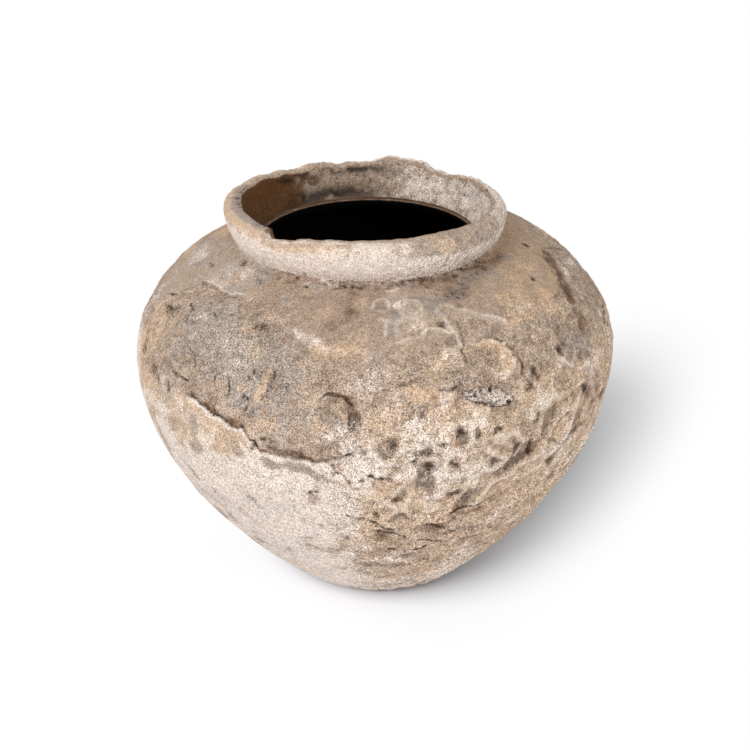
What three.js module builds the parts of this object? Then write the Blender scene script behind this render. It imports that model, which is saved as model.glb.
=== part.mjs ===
// Old earthenware jar: a round body with a flared lip, chipped at the rim and crusted with lime.
// Units are millimetres, +Z is up, and the origin is the middle of the underside.
// The jar was raised in sections that were luted together with slip, so each section, each slip
// seam and each coat or crust that grew on the wall is a solid of its own.
import * as THREE from "three";
import { mergeVertices } from "three/addons/utils/BufferGeometryUtils.js";

// Body, outside sizes
const footRadius = 55;
const footFlare = 12;
const footRise = 12;
const bellyRadius = 157.5;
const bellyHeight = 168;
const neckRadius = 84.5;
const neckHeight = 242;
const shoulderReach = 35.5;
const shoulderDrop = 2.8;

// How full the profile is below and above the belly, as a share of the height there
const fullnessBelow = 0.485;
const fullnessAbove = 0.41;

// Wall, floor and throat
const wallThickness = 11;
const floorThickness = 13;
const dishWidth = 0.62;
const dishRise = 0.2;
const ledgeWidth = 14.5;
const throatDrop = 2.5;
const throatEdge = 8.5;
const throatLedge = 2;

// The hand-built neck stands a little to the left, and the shoulder swells to the right
const neckShift = -4;
const shoulderLean = 1.5;

// The left of the shoulder has sunk beside the neck: how deep, how far from the neck and how wide
const shoulderSag = 6;
const sagDown = 26;
const sagSpread = 26;
const sagRim = 14;
const sagStarts = 0.35;
const sagFull = 0.9;

// Collar and lip
const collarRise = 8;
const collarFlare = 5.5;
const lipHeight = 16;
const lipOverhang = 3;
const lipWideAt = 9;
const lipRound = 2.2;
const lipFunnel = 3;
const deepestWear = 9.5;

// Slip seams, and the clearance between pieces that touch
const slipThickness = 1.5;
const slipRecess = 0.8;
const clearance = 0.3;
const baseSeamAt = 15;
const bellySeamBelow = 4;

// Coats and crusts that lie on the wall
const coatGap = 0.9;
const coatThickness = 2.3;
const coatFootAt = 6;
const coatEdgeSwing = 46;
const coatRound = 0.6;
const skinThickness = 2.2;
const skinStart = 5;
const skinLongest = 66;
const crustThickness = 2.4;
const crustMargin = 5;
const plateThickness = 3;
const lumpThickness = 5;
const patchGap = 0.9;

// Facets
const roundSteps = 56;
const lipSteps = 84;
const patchSteps = 28;
const bowlStations = 12;
const shoulderStations = 9;
const insideStations = 7;
const coatStations = 14;
const skinStations = 7;

const clayColour = "#a48c77";
const slipColour = "#8a745f";
const coatColour = "#c9b8a3";
const skinColour = "#b29a7c";
const crustColour = "#9b8d80";
const plateColour = "#bb9e78";
const limeColour = "#d6ccbf";

const point = (x, y) => new THREE.Vector2(x, y);

// Outer profile of the body: one curve from the foot to the belly, one from the belly to the neck.
const lowerCurve = new THREE.CubicBezierCurve(
  point(footRadius, 0),
  point(footRadius + footFlare, footRise),
  point(bellyRadius, bellyHeight * (1 - fullnessBelow)),
  point(bellyRadius, bellyHeight),
);
const upperCurve = new THREE.CubicBezierCurve(
  point(bellyRadius, bellyHeight),
  point(bellyRadius, THREE.MathUtils.lerp(bellyHeight, neckHeight, fullnessAbove)),
  point(neckRadius + shoulderReach, neckHeight - shoulderDrop),
  point(neckRadius, neckHeight),
);
const bellyAt = lowerCurve.getLength();
const neckAt = bellyAt + upperCurve.getLength();

const smooth = (t) => THREE.MathUtils.smoothstep(t, 0, 1);
const turned = (degrees) => THREE.MathUtils.degToRad(degrees);

// Point of the profile at a length along it from the foot, moved out square to the wall.
function profilePoint(along, out) {
  const below = along <= bellyAt;
  const curve = below ? lowerCurve : upperCurve;
  const share = below ? along / bellyAt : (along - bellyAt) / (neckAt - bellyAt);
  const at = curve.getPointAt(THREE.MathUtils.clamp(share, 0, 1));
  const way = curve.getTangentAt(THREE.MathUtils.clamp(share, 0, 1));
  return point(at.x + way.y * out, at.y - way.x * out);
}

// Sideways shift of the hand-built shoulder at a length along the profile.
function leanAt(along) {
  const share = THREE.MathUtils.clamp((along - bellyAt) / (neckAt - bellyAt), 0, 1);
  return shoulderLean * Math.sin(Math.PI * share) + neckShift * smooth(share);
}

// Depth of the sunken left shoulder, which fades out towards the front and back and at the neck.
function sagAt(angle, along) {
  const down = neckAt - along;
  const left = smooth((-Math.cos(angle) - sagStarts) / (sagFull - sagStarts));
  return shoulderSag * left * Math.exp(-(((down - sagDown) / sagSpread) ** 2)) * smooth(down / sagRim);
}

// Point on the body at an angle round the axis, a length up the profile and a distance off the wall.
function onWall(angle, along, out) {
  const at = profilePoint(along, out - sagAt(angle, along));
  return new THREE.Vector3(
    leanAt(along) + at.x * Math.cos(angle),
    at.x * Math.sin(angle),
    at.y,
  );
}

// Point at an angle round an upright axis through the origin.
function onAxis(angle, radius, height) {
  return new THREE.Vector3(radius * Math.cos(angle), radius * Math.sin(angle), height);
}

// Values given at angles in degrees, joined smoothly all the way round.
function around(stops) {
  return (angle) => {
    const last = stops.length - 1;
    let degrees = THREE.MathUtils.radToDeg(angle);
    degrees -= 360 * Math.floor((degrees - stops[0][0]) / 360);
    const next = stops.findIndex((stop) => stop[0] > degrees);
    const from = next < 0 ? stops[last] : stops[next - 1];
    const to = next < 0 ? [stops[0][0] + 360, stops[0][1]] : stops[next];
    return THREE.MathUtils.lerp(from[1], to[1], smooth((degrees - from[0]) / (to[0] - from[0])));
  };
}

const evenAngles = (steps) => Array.from({ length: steps }, (_, i) => -Math.PI / 2 + (2 * Math.PI * i) / steps);

// Evenly spaced values from one end to the other, both included.
function spaced(from, to, count) {
  return Array.from({ length: count }, (_, i) => from + ((to - from) * i) / (count - 1));
}

// Ring solid: a closed section, which may change with the angle, carried once round the axis.
function carryRound(sectionAt, angles) {
  const sections = angles.map(sectionAt);
  const size = sections[0].length;
  const index = [];
  for (let i = 0; i < angles.length; i += 1) {
    const here = i * size;
    const there = ((i + 1) % angles.length) * size;
    for (let k = 0; k < size; k += 1) {
      const up = (k + 1) % size;
      index.push(here + k, there + k, there + up, here + k, there + up, here + up);
    }
  }
  const geometry = new THREE.BufferGeometry().setFromPoints(sections.flat());
  geometry.setIndex(index);
  return geometry;
}

// Closes a lathe's seam and poles, and drops the empty triangles at the poles.
function closed(geometry) {
  geometry.deleteAttribute("normal");
  geometry.deleteAttribute("uv");
  const merged = mergeVertices(geometry);
  const old = merged.index.array;
  const kept = [];
  for (let i = 0; i < old.length; i += 3) {
    const [a, b, c] = [old[i], old[i + 1], old[i + 2]];
    if (a !== b && b !== c && c !== a) kept.push(a, b, c);
  }
  merged.setIndex(kept);
  return merged;
}

function piece(name, geometry, colour, roughness) {
  geometry.computeVertexNormals();
  const material = new THREE.MeshStandardMaterial({ color: colour, roughness, metalness: 0 });
  const mesh = new THREE.Mesh(geometry, material);
  mesh.name = name;
  return mesh;
}

const jar = new THREE.Group();
const neck = new THREE.Group();
neck.position.x = neckShift;
jar.add(neck);

const ringAngles = evenAngles(roundSteps);

// Stretch of the body wall between two lengths along the profile.
function wallSection(angle, from, to, count) {
  const outer = spaced(from, to, count).map((along) => onWall(angle, along, 0));
  const inner = spaced(to, from, insideStations).map((along) => onWall(angle, along, -wallThickness));
  return outer.concat(inner);
}

// Slip ring between two stretches of wall, set back a little from both faces.
function slipSection(angle, middle) {
  const low = middle - slipThickness / 2;
  const high = middle + slipThickness / 2;
  const inside = slipRecess - wallThickness;
  return [
    onWall(angle, low, -slipRecess),
    onWall(angle, high, -slipRecess),
    onWall(angle, high, inside),
    onWall(angle, low, inside),
  ];
}

const seamHalf = slipThickness / 2 + clearance;
const bellySeamAt = bellyAt - bellySeamBelow;

// Base disc: flat underside, edge that follows the body's foot, and a dished floor inside.
function baseDisc() {
  const edge = baseSeamAt - seamHalf;
  const outside = spaced(0, edge, 4).map((along) => profilePoint(along, 0));
  const inside = profilePoint(edge, -wallThickness);
  const dish = point(inside.x * dishWidth, floorThickness + (inside.y - floorThickness) * dishRise);
  const section = [point(0, 0), ...outside, inside, dish, point(0, floorThickness)];
  const disc = new THREE.LatheGeometry(section, roundSteps);
  disc.rotateX(Math.PI / 2);
  return closed(disc);
}
jar.add(piece("base_disc", baseDisc(), clayColour, 0.92));

const baseSeam = carryRound((angle) => slipSection(angle, baseSeamAt), ringAngles);
jar.add(piece("base_seam", baseSeam, slipColour, 0.95));

const bowlFrom = baseSeamAt + seamHalf;
const bowlTo = bellySeamAt - seamHalf;
const bowl = carryRound((angle) => wallSection(angle, bowlFrom, bowlTo, bowlStations), ringAngles);
jar.add(piece("lower_bowl", bowl, clayColour, 0.92));

const bellySeam = carryRound((angle) => slipSection(angle, bellySeamAt), ringAngles);
jar.add(piece("belly_seam", bellySeam, slipColour, 0.95));

// Shoulder: domed wall that ends in a ledge round the throat, under the collar.
const throatRadius = neckRadius - ledgeWidth;
const throatHeight = neckHeight - throatDrop;
const ledgeSlope = throatDrop / ledgeWidth;
const ledgeHeight = (radius) => throatHeight + (radius - throatRadius) * ledgeSlope;

function shoulderSection(angle) {
  const wall = wallSection(angle, bellySeamAt + seamHalf, neckAt, shoulderStations);
  const side = new THREE.Vector3(neckShift, 0, 0);
  const throat = [
    onAxis(angle, throatRadius, throatHeight).add(side),
    onAxis(angle, throatRadius, throatHeight - throatEdge).add(side),
  ];
  return [...wall.slice(0, shoulderStations), ...throat, ...wall.slice(shoulderStations)];
}
const shoulder = carryRound(shoulderSection, ringAngles);
jar.add(piece("shoulder_dome", shoulder, clayColour, 0.92));

// Collar: flared ring that stands on the ledge, bedded on slip.
const slipTop = 2 * clearance + slipThickness;
const collarTop = neckHeight + slipTop + collarRise;
const collarTopRadius = neckRadius + collarFlare;
const collarInner = throatRadius + throatLedge;

function collarSlipSection(angle) {
  const outer = neckRadius - slipRecess;
  const inner = collarInner + slipRecess;
  return [
    onAxis(angle, inner, ledgeHeight(inner) + clearance),
    onAxis(angle, outer, ledgeHeight(outer) + clearance),
    onAxis(angle, outer, ledgeHeight(outer) + clearance + slipThickness),
    onAxis(angle, inner, ledgeHeight(inner) + clearance + slipThickness),
  ];
}
neck.add(piece("collar_seam", carryRound(collarSlipSection, ringAngles), slipColour, 0.95));

function collarSection(angle) {
  const rise = (share) => neckHeight + slipTop + collarRise * share;
  const outside = (share) => neckRadius + collarFlare * Math.pow(share, 1.4);
  const inside = (share) => collarInner + collarFlare * share;
  const outer = spaced(0, 1, 4).map((share) => onAxis(angle, outside(share), rise(share)));
  outer[0].z = ledgeHeight(neckRadius) + slipTop;
  return [
    ...outer,
    onAxis(angle, inside(1), rise(1)),
    onAxis(angle, inside(0.5), rise(0.5)),
    onAxis(angle, collarInner, ledgeHeight(collarInner) + slipTop),
  ];
}
neck.add(piece("neck_collar", carryRound(collarSection, ringAngles), clayColour, 0.92));

// Lip: rolled ring whose top is whole on the left, chipped at the front left and worn ragged behind.
const chipStart = -135.5;
const chipFloor = -134;
const rimWear = around([
  [-180, 0],
  [chipStart, 0],
  [chipFloor, 0.65],
  [-126, 0.5],
  [-115, 0.2],
  [-104, 0.04],
  [-60, 0.06],
  [-25, 0.16],
  [0, 0.52],
  [16, 0.62],
  [28, 0.56],
  [41, 0.74],
  [50, 1],
  [57, 0.92],
  [65, 0.42],
  [79, 0.28],
  [90, 0.7],
  [103, 0.76],
  [112, 0.52],
  [126, 0.66],
  [136, 0.48],
  [152, 0.28],
]);
const lipBase = collarTop + clearance;
const lipWide = lipBase + lipWideAt;
const lipBulge = lipOverhang / (lipWideAt * lipWideAt);
const lipRadius = collarTopRadius + lipOverhang;
const lipOuter = (height) => lipRadius - lipBulge * (height - lipWide) * (height - lipWide);
const lipInnerBase = collarInner + collarFlare;
const lipInner = (height) => lipInnerBase + lipFunnel * ((height - lipBase) / lipHeight);

function lipSection(angle) {
  const top = lipBase + lipHeight - deepestWear * rimWear(angle);
  const outer = spaced(lipBase, top - lipRound, 5).map((height) => onAxis(angle, lipOuter(height), height));
  return [
    ...outer,
    onAxis(angle, lipOuter(top) - lipRound, top),
    onAxis(angle, lipInner(top) + lipRound * 0.5, top),
    onAxis(angle, lipInner(top - lipRound), top - lipRound),
    onAxis(angle, lipInner(lipBase), lipBase),
  ];
}
const lipAngles = evenAngles(lipSteps).concat(turned(chipStart), turned(chipFloor)).sort((a, b) => a - b);
neck.add(piece("rim_lip", carryRound(lipSection, lipAngles), clayColour, 0.9));

// Section of a coat on the wall, with a rounded edge at both ends.
function coatSection(angle, from, to, gap, thickness, count) {
  const round = thickness * coatRound;
  const outer = spaced(from + round, to - round, count - 2);
  return [
    onWall(angle, from, gap),
    onWall(angle, from, gap + thickness * 0.5),
    ...outer.map((along) => onWall(angle, along, gap + thickness)),
    onWall(angle, to, gap + thickness * 0.5),
    ...spaced(to, from, count).slice(0, -1).map((along) => onWall(angle, along, gap)),
  ];
}

// Pale lime coat on the lower body; its broken upper edge runs round the belly.
const coatEdge = around([
  [-180, 0.2],
  [-160, 0.2],
  [-148, 0.18],
  [-140, 0.19],
  [-134, 0.26],
  [-129, 0.18],
  [-124, 0.1],
  [-120.5, 0.09],
  [-118, -0.06],
  [-115.5, -0.17],
  [-108, -0.2],
  [-100.5, -0.2],
  [-98, -0.35],
  [-94.5, -0.6],
  [-80, -0.86],
  [-62, -1],
  [-45, -0.78],
  [-20, -0.44],
  [10, -0.26],
  [60, 0.04],
  [95, -0.18],
  [130, 0.13],
]);
const coatTo = (angle) => bellyAt + coatEdgeSwing * coatEdge(angle);
const coat = carryRound(
  (angle) => coatSection(angle, coatFootAt, coatTo(angle), coatGap, coatThickness, coatStations),
  ringAngles,
);
jar.add(piece("lower_coat", coat, coatColour, 0.9));

// Smooth skin that is left round the neck, reaching down the shoulder by a changing length.
const skinReach = around([
  [-180, 1],
  [-168, 0.95],
  [-162, 0.72],
  [-157, 0.48],
  [-150, 0.44],
  [-143, 0.45],
  [-136, 0.41],
  [-130, 0.41],
  [-125.5, 0.49],
  [-120, 0.54],
  [-114, 0.63],
  [-107, 0.7],
  [-97, 0.85],
  [-91, 0.89],
  [-84, 0.8],
  [-74, 0.71],
  [-62, 0.6],
  [-48, 0.6],
  [-39, 0.64],
  [-29, 0.75],
  [-25, 0.72],
  [-18, 0.56],
  [-13, 0.47],
  [-4, 0.42],
  [12, 0.39],
  [40, 0.52],
  [75, 0.7],
  [110, 0.6],
  [145, 0.85],
]);
const skinFrom = (angle) => neckAt - skinLongest * skinReach(angle);
const skin = carryRound(
  (angle) => coatSection(angle, skinFrom(angle), neckAt - skinStart, coatGap, skinThickness, skinStations),
  ringAngles,
);
jar.add(piece("shoulder_skin", skin, skinColour, 0.88));

// Flat lens of unit radius and unit height, whose rim is thin and rounded.
function lens() {
  const section = [
    point(0, 0),
    point(0.34, 0),
    point(0.67, 0),
    point(1, 0),
    point(1.02, 0.35),
    point(0.9, 0.8),
    point(0.6, 1),
    point(0.3, 1),
    point(0, 1),
  ];
  const geometry = new THREE.LatheGeometry(section, patchSteps);
  geometry.rotateX(Math.PI / 2);
  return closed(geometry);
}

// Wavy outline of a patch: how far it reaches in each direction, about 1.
function ragged(turn, wave, phase) {
  const broad = Math.cos(2 * turn + phase) + 0.7 * Math.sin(3 * turn - phase);
  return 1 + wave * (broad + 0.6 * Math.cos(7 * turn + 2 * phase));
}

// Patch on the wall: a lens with a wavy outline, wrapped over the double curve by a placing function
// that takes its two flat coordinates and gives the angle and the length along the profile.
function wallPatch(thickness, outline, place) {
  const solid = lens();
  const corners = solid.getAttribute("position");
  for (let i = 0; i < corners.count; i += 1) {
    const [x, y] = [corners.getX(i), corners.getY(i)];
    const reach = ragged(Math.atan2(y, x), outline.wave, outline.phase);
    const [angle, along] = place(x * reach, y * reach);
    const spot = onWall(angle, along, patchGap + corners.getZ(i) * thickness);
    corners.setXYZ(i, spot.x, spot.y, spot.z);
  }
  return solid;
}

// Placing for a patch of its own size at a distance below the neck, lower at its right end by a tilt.
function patchAt(degrees, down, halfWidth, halfHeight, tilt) {
  const middle = neckAt - down;
  const radius = profilePoint(middle, 0).x;
  return (x, y) => [turned(degrees) + (x * halfWidth) / radius, middle + y * halfHeight - x * tilt];
}

// Grey crust that fills the left of the bare band between the lower coat and the skin.
const crustAngle = -127;
const crustSpread = 24;
const crustReach = 0.38;
const crustOutline = { wave: 0.07, phase: 0.6 };
function crustPlace(x, y) {
  const angle = turned(crustAngle + crustSpread * x);
  const low = coatTo(angle) + crustMargin;
  const high = skinFrom(angle) - crustMargin;
  return [angle, THREE.MathUtils.lerp(low, high, 0.5 + crustReach * y)];
}
jar.add(piece("left_crust", wallPatch(crustThickness, crustOutline, crustPlace), crustColour, 0.95));

const plateAngle = -61;
const plateDown = 66;
const plateHalfWidth = 17;
const plateHalfHeight = 13;
const plateOutline = { wave: 0.07, phase: 1.4 };
const platePlace = patchAt(plateAngle, plateDown, plateHalfWidth, plateHalfHeight, 0);
jar.add(piece("tan_plate", wallPatch(plateThickness, plateOutline, platePlace), plateColour, 0.85));

const lumpAngle = -64;
const lumpDown = 87;
const lumpHalfWidth = 18;
const lumpHalfHeight = 5.8;
const lumpTilt = 5;
const lumpOutline = { wave: 0.09, phase: 2.6 };
const lumpPlace = patchAt(lumpAngle, lumpDown, lumpHalfWidth, lumpHalfHeight, lumpTilt);
jar.add(piece("lime_lump", wallPatch(lumpThickness, lumpOutline, lumpPlace), limeColour, 0.95));

export default jar;
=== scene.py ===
"""Dressing of an old earthenware jar: crusted wall, chipped lip, lime coat, and a plain pale stage."""

import math

import bpy
import numpy as np
from mathutils import Matrix, Vector


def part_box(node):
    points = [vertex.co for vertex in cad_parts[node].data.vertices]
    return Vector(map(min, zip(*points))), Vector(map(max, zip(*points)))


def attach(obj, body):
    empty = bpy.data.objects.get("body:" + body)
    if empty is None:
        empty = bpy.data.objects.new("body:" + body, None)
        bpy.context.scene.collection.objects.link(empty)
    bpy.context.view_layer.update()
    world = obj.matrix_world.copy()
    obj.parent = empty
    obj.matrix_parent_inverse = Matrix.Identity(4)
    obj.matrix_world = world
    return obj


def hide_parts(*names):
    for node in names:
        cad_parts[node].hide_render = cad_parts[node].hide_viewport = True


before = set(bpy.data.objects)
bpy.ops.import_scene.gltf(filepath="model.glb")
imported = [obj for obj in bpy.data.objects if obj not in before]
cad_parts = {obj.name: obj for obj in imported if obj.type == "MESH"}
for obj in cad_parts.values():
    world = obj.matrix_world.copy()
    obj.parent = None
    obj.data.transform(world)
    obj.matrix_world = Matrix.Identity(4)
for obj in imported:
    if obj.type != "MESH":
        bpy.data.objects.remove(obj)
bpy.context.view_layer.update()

bl_info = {
    "name": "Crusted Earthenware Jar",
    "version": (1, 0, 0),
    "blender": (4, 5, 0),
    "location": "View3D > Sidebar > Jar",
    "description": "Builds the weathered surface of an old jar round its packed solids",
    "category": "Object",
}

MILLIMETRE = 0.001

# Lengths on the jar, in millimetres
BASE_SEAM = 15.0
BELLY_SEAM_BELOW = 4.0
LIP_SEAM = 252.25
FOOT_START = 6.0
FLOOR_HEIGHT = 13
COAT_SPAN = 46
SKIN_SPAN = 66
REBATE = 1.05
REBATE_SINK = 0.7
UNDER_WALL = 0.6

# Stations round the body, and the height in metres that the lamps point at
ROUND = 840
AIM_HEIGHT = 0.13


def length(label, default, description):
    """Length property in metres."""
    return bpy.props.FloatProperty(
        name=label, description=description, default=default, min=0.0, precision=4, unit="LENGTH"
    )


def share(label, default, description):
    """Plain factor property."""
    return bpy.props.FloatProperty(name=label, description=description, default=default, min=0.0, max=4.0)


def colour(label, red, green, blue, description):
    """Colour property, given as the usual 0 to 255 screen values."""
    screen = np.array([red, green, blue]) / 255
    linear = np.where(screen > 0.04045, ((screen + 0.055) / 1.055) ** 2.4, screen / 12.92)
    return bpy.props.FloatVectorProperty(
        name=label, description=description, default=tuple(linear), min=0.0, max=1.0, subtype="COLOR"
    )


class JarShape(bpy.types.PropertyGroup):
    """Sizes of the jar's body, neck and coats"""

    foot_radius: length("Foot radius", 0.055, "Radius of the flat underside")
    foot_flare: length("Foot flare", 0.012, "Outward pull of the profile at the foot")
    foot_rise: length("Foot rise", 0.012, "Upward pull of the profile at the foot")
    belly_radius: length("Belly radius", 0.1575, "Largest radius of the bare wall")
    belly_height: length("Belly height", 0.168, "Height of the largest radius")
    neck_radius: length("Neck radius", 0.0845, "Radius where the shoulder meets the collar")
    neck_height: length("Neck height", 0.242, "Height where the shoulder meets the collar")
    fullness_below: share(
        "Fullness below", 0.485, "How full the profile is below the belly, as a share of its height",
    )
    fullness_above: share(
        "Fullness above", 0.41, "How full the profile is above the belly, as a share of its height",
    )
    shoulder_reach: length("Shoulder reach", 0.0355, "How far the shoulder runs out level from the neck")
    shoulder_drop: length("Shoulder drop", 0.0028, "How far the shoulder falls over that reach")
    shoulder_lean: length("Shoulder lean", 0.0015, "Sideways swell of the shoulder to the right")
    neck_shift: length("Neck shift", 0.004, "Distance of the neck's axis to the left of the body's")
    shoulder_sag: length("Shoulder sag", 0.006, "Depth of the sunken left shoulder beside the neck")
    sag_down: length("Sag distance", 0.026, "Distance of that hollow's middle from the neck")
    sag_spread: length("Sag spread", 0.026, "Half width of that hollow")
    wall_thickness: length("Wall thickness", 0.011, "Thickness of the clay wall")
    throat_radius: length("Throat radius", 0.070, "Radius of the opening under the collar")
    lip_height: length("Lip height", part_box("rim_lip")[1].z, "Height of the whole part of the lip")
    deepest_wear: length("Deepest wear", 0.0095, "Depth of the deepest break in the lip")
    grit: share("Grit", 1.0, "How strongly the bare clay is crusted")
    coat_step: length("Coat step", 0.0013, "How far the lime coat stands off the bare wall")
    skin_step: length("Skin step", 0.0010, "How far the smooth skin stands off the bare wall")


class JarFinish(bpy.types.PropertyGroup):
    """Colours of the clay and of what grew on it"""

    clay: colour("Clay", 170, 147, 127, "Weathered clay of the bare wall")
    tan: colour("Tan", 208, 176, 143, "Warm stain on the coat and the skin")
    # Lime: pale bloom, and also the colour of the painted highlight on the coat's edge and of the painted
    # light on the neck's inner right wall.
    lime: colour("Lime", 239, 224, 212, "Pale lime bloom")
    grey: colour("Grey", 154, 144, 136, "Grey crust")
    # Brown: brown stain, and also painted shade beside broken edges and on the inner left of the neck.
    brown: colour("Brown", 96, 60, 26, "Brown stain beside broken edges")
    rust: colour("Rust", 172, 112, 74, "Bare fired clay and rust stains")
    # Soot: real soot inside the neck, and painted shade that keeps the inside of the jar black.
    soot: colour("Soot", 22, 18, 16, "Soot inside the jar")
    # Crevice: the dark of pits and cracks, and also the colour of the painted shade carried by the dark stain
    # and of the darkening in hollows.
    crevice: colour("Crevice", 46, 36, 29, "Dirt in pits and cracks")


class JarStage(bpy.types.PropertyGroup):
    """Light and floor of the stage"""

    key_power: share("Key power", 1.0, "Strength of the lamps")
    fill_power: share("Fill power", 1.0, "Strength of the even light from all round")
    floor: colour("Floor", 150, 150, 152, "Colour of the floor under its own lamp")


# Plain helpers on arrays

def ease(value, low=0.0, high=1.0):
    """Smooth step: 0 below low, 1 above high, and 3t squared less 2t cubed between."""
    t = np.clip((value - low) / (high - low), 0, 1)
    return t * t * (3 - 2 * t)


def bell(value, width):
    """Bell curve: e to the minus square of value over width."""
    return np.exp(-((value / width) ** 2))


def at_least(least, value, low, high):
    """Smooth step that rises to 1 from a least share, not from 0."""
    return least + (1 - least) * ease(value, low, high)


def turn_between(angle, degrees):
    """Angle from a direction in degrees, wrapped to the half turn either side of it."""
    return (angle - math.radians(degrees) + np.pi) % (2 * np.pi) - np.pi


def sector(angle, start, end, soft):
    """1 between two directions in degrees and 0 outside, with soft flanks of that many degrees."""
    middle = (start + end) / 2
    away = np.degrees(np.abs(turn_between(angle, middle)))
    return 1 - ease(away, (end - start) / 2 - soft / 2, (end - start) / 2 + soft / 2)


def around(angle, stops):
    """Values given at directions in degrees, joined by smooth steps all the way round."""
    places = np.array([stop[0] for stop in stops] + [stops[0][0] + 360.0])
    values = np.array([stop[1] for stop in stops] + [stops[0][1]])
    degrees = np.degrees(angle) - 360 * np.floor((np.degrees(angle) - places[0]) / 360)
    left = np.clip(np.searchsorted(places, degrees, side="right") - 1, 0, len(places) - 2)
    t = ease((degrees - places[left]) / (places[left + 1] - places[left]))
    return values[left] + (values[left + 1] - values[left]) * t


def scatter(cell, seed):
    """Even scatter from 0 to 1 for whole-number cells: their coordinates mixed by odd multipliers."""
    mixed = (cell[..., 0] * 73856093) ^ (cell[..., 1] * 19349663) ^ (cell[..., 2] * 83492791) ^ (seed * 40503)
    mixed = mixed & 0xFFFFFFFF
    mixed = (((mixed >> 16) ^ mixed) * 0x45D9F3B) & 0xFFFFFFFF
    mixed = (((mixed >> 16) ^ mixed) * 0x45D9F3B) & 0xFFFFFFFF
    return ((mixed >> 16) ^ mixed) / 4294967296.0


def cloud(points, size, seed):
    """Gradient noise of that feature size, about -1 to 1: slopes at lattice corners, blended by a
    quintic."""
    scaled = points / size
    cell = np.floor(scaled).astype(np.int64)
    part = scaled - cell
    fade = part**3 * (part * (part * 6 - 15) + 10)
    total = np.zeros(points.shape[:-1])
    for corner in np.ndindex(2, 2, 2):
        turn = scatter(cell + corner, seed) * 2 * np.pi
        rise = scatter(cell + corner, seed + 101) * 2 - 1
        flat = np.sqrt(1 - rise * rise)
        reach = part - corner
        slope = (
            flat * (np.cos(turn) * reach[..., 0] + np.sin(turn) * reach[..., 1]) + rise * reach[..., 2]
        )
        weight = np.prod(np.where(corner, fade, 1 - fade), axis=-1)
        total += slope * weight
    return total * 1.9


def grains(points, size, seed):
    """Distance to the nearest scattered grain, and that grain's own number from 0 to 1."""
    scaled = points / size
    cell = np.floor(scaled).astype(np.int64)
    nearest = np.full(points.shape[:-1], 9.0)
    number = np.zeros(points.shape[:-1])
    for corner in np.ndindex(3, 3, 3):
        place = cell + np.array(corner) - 1
        grain = np.stack([scatter(place, seed + axis) for axis in range(3)], axis=-1)
        away = np.sqrt(np.sum((place + grain - scaled) ** 2, axis=-1))
        closer = away < nearest
        nearest = np.where(closer, away, nearest)
        number = np.where(closer, scatter(place, seed + 7), number)
    return nearest * size, number


def softened(field, reach):
    """Field on a grid that wraps in its first axis, blurred by a bell of that many steps in Fourier
    space."""
    doubled = np.concatenate([field, field[:, ::-1]], axis=1)
    first = np.fft.fftfreq(doubled.shape[0])[:, None]
    second = np.fft.rfftfreq(doubled.shape[1])[None, :]
    weight = np.exp(-2 * (np.pi * reach) ** 2 * (first**2 + second**2))
    blurred = np.fft.irfft2(np.fft.rfft2(doubled) * weight, s=doubled.shape)
    return blurred[:, : field.shape[1]]


def front_dense(count):
    """Angles all the way round, closer together at the front: an even turn less a sine of itself."""
    even = (np.arange(count) / count) - 0.5
    return np.radians(-90) + 2 * np.pi * (even - 0.14 * np.sin(2 * np.pi * even) / (2 * np.pi))


def on_rings(angle, radius, height, shift=0.0):
    """Points at angles, radii and heights about an axis that stands a shift to the left."""
    sides = (radius * np.cos(angle) - shift, radius * np.sin(angle))
    return np.stack(np.broadcast_arrays(*sides, height), axis=-1)


# The wall and everything on it, in millimetres

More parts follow.
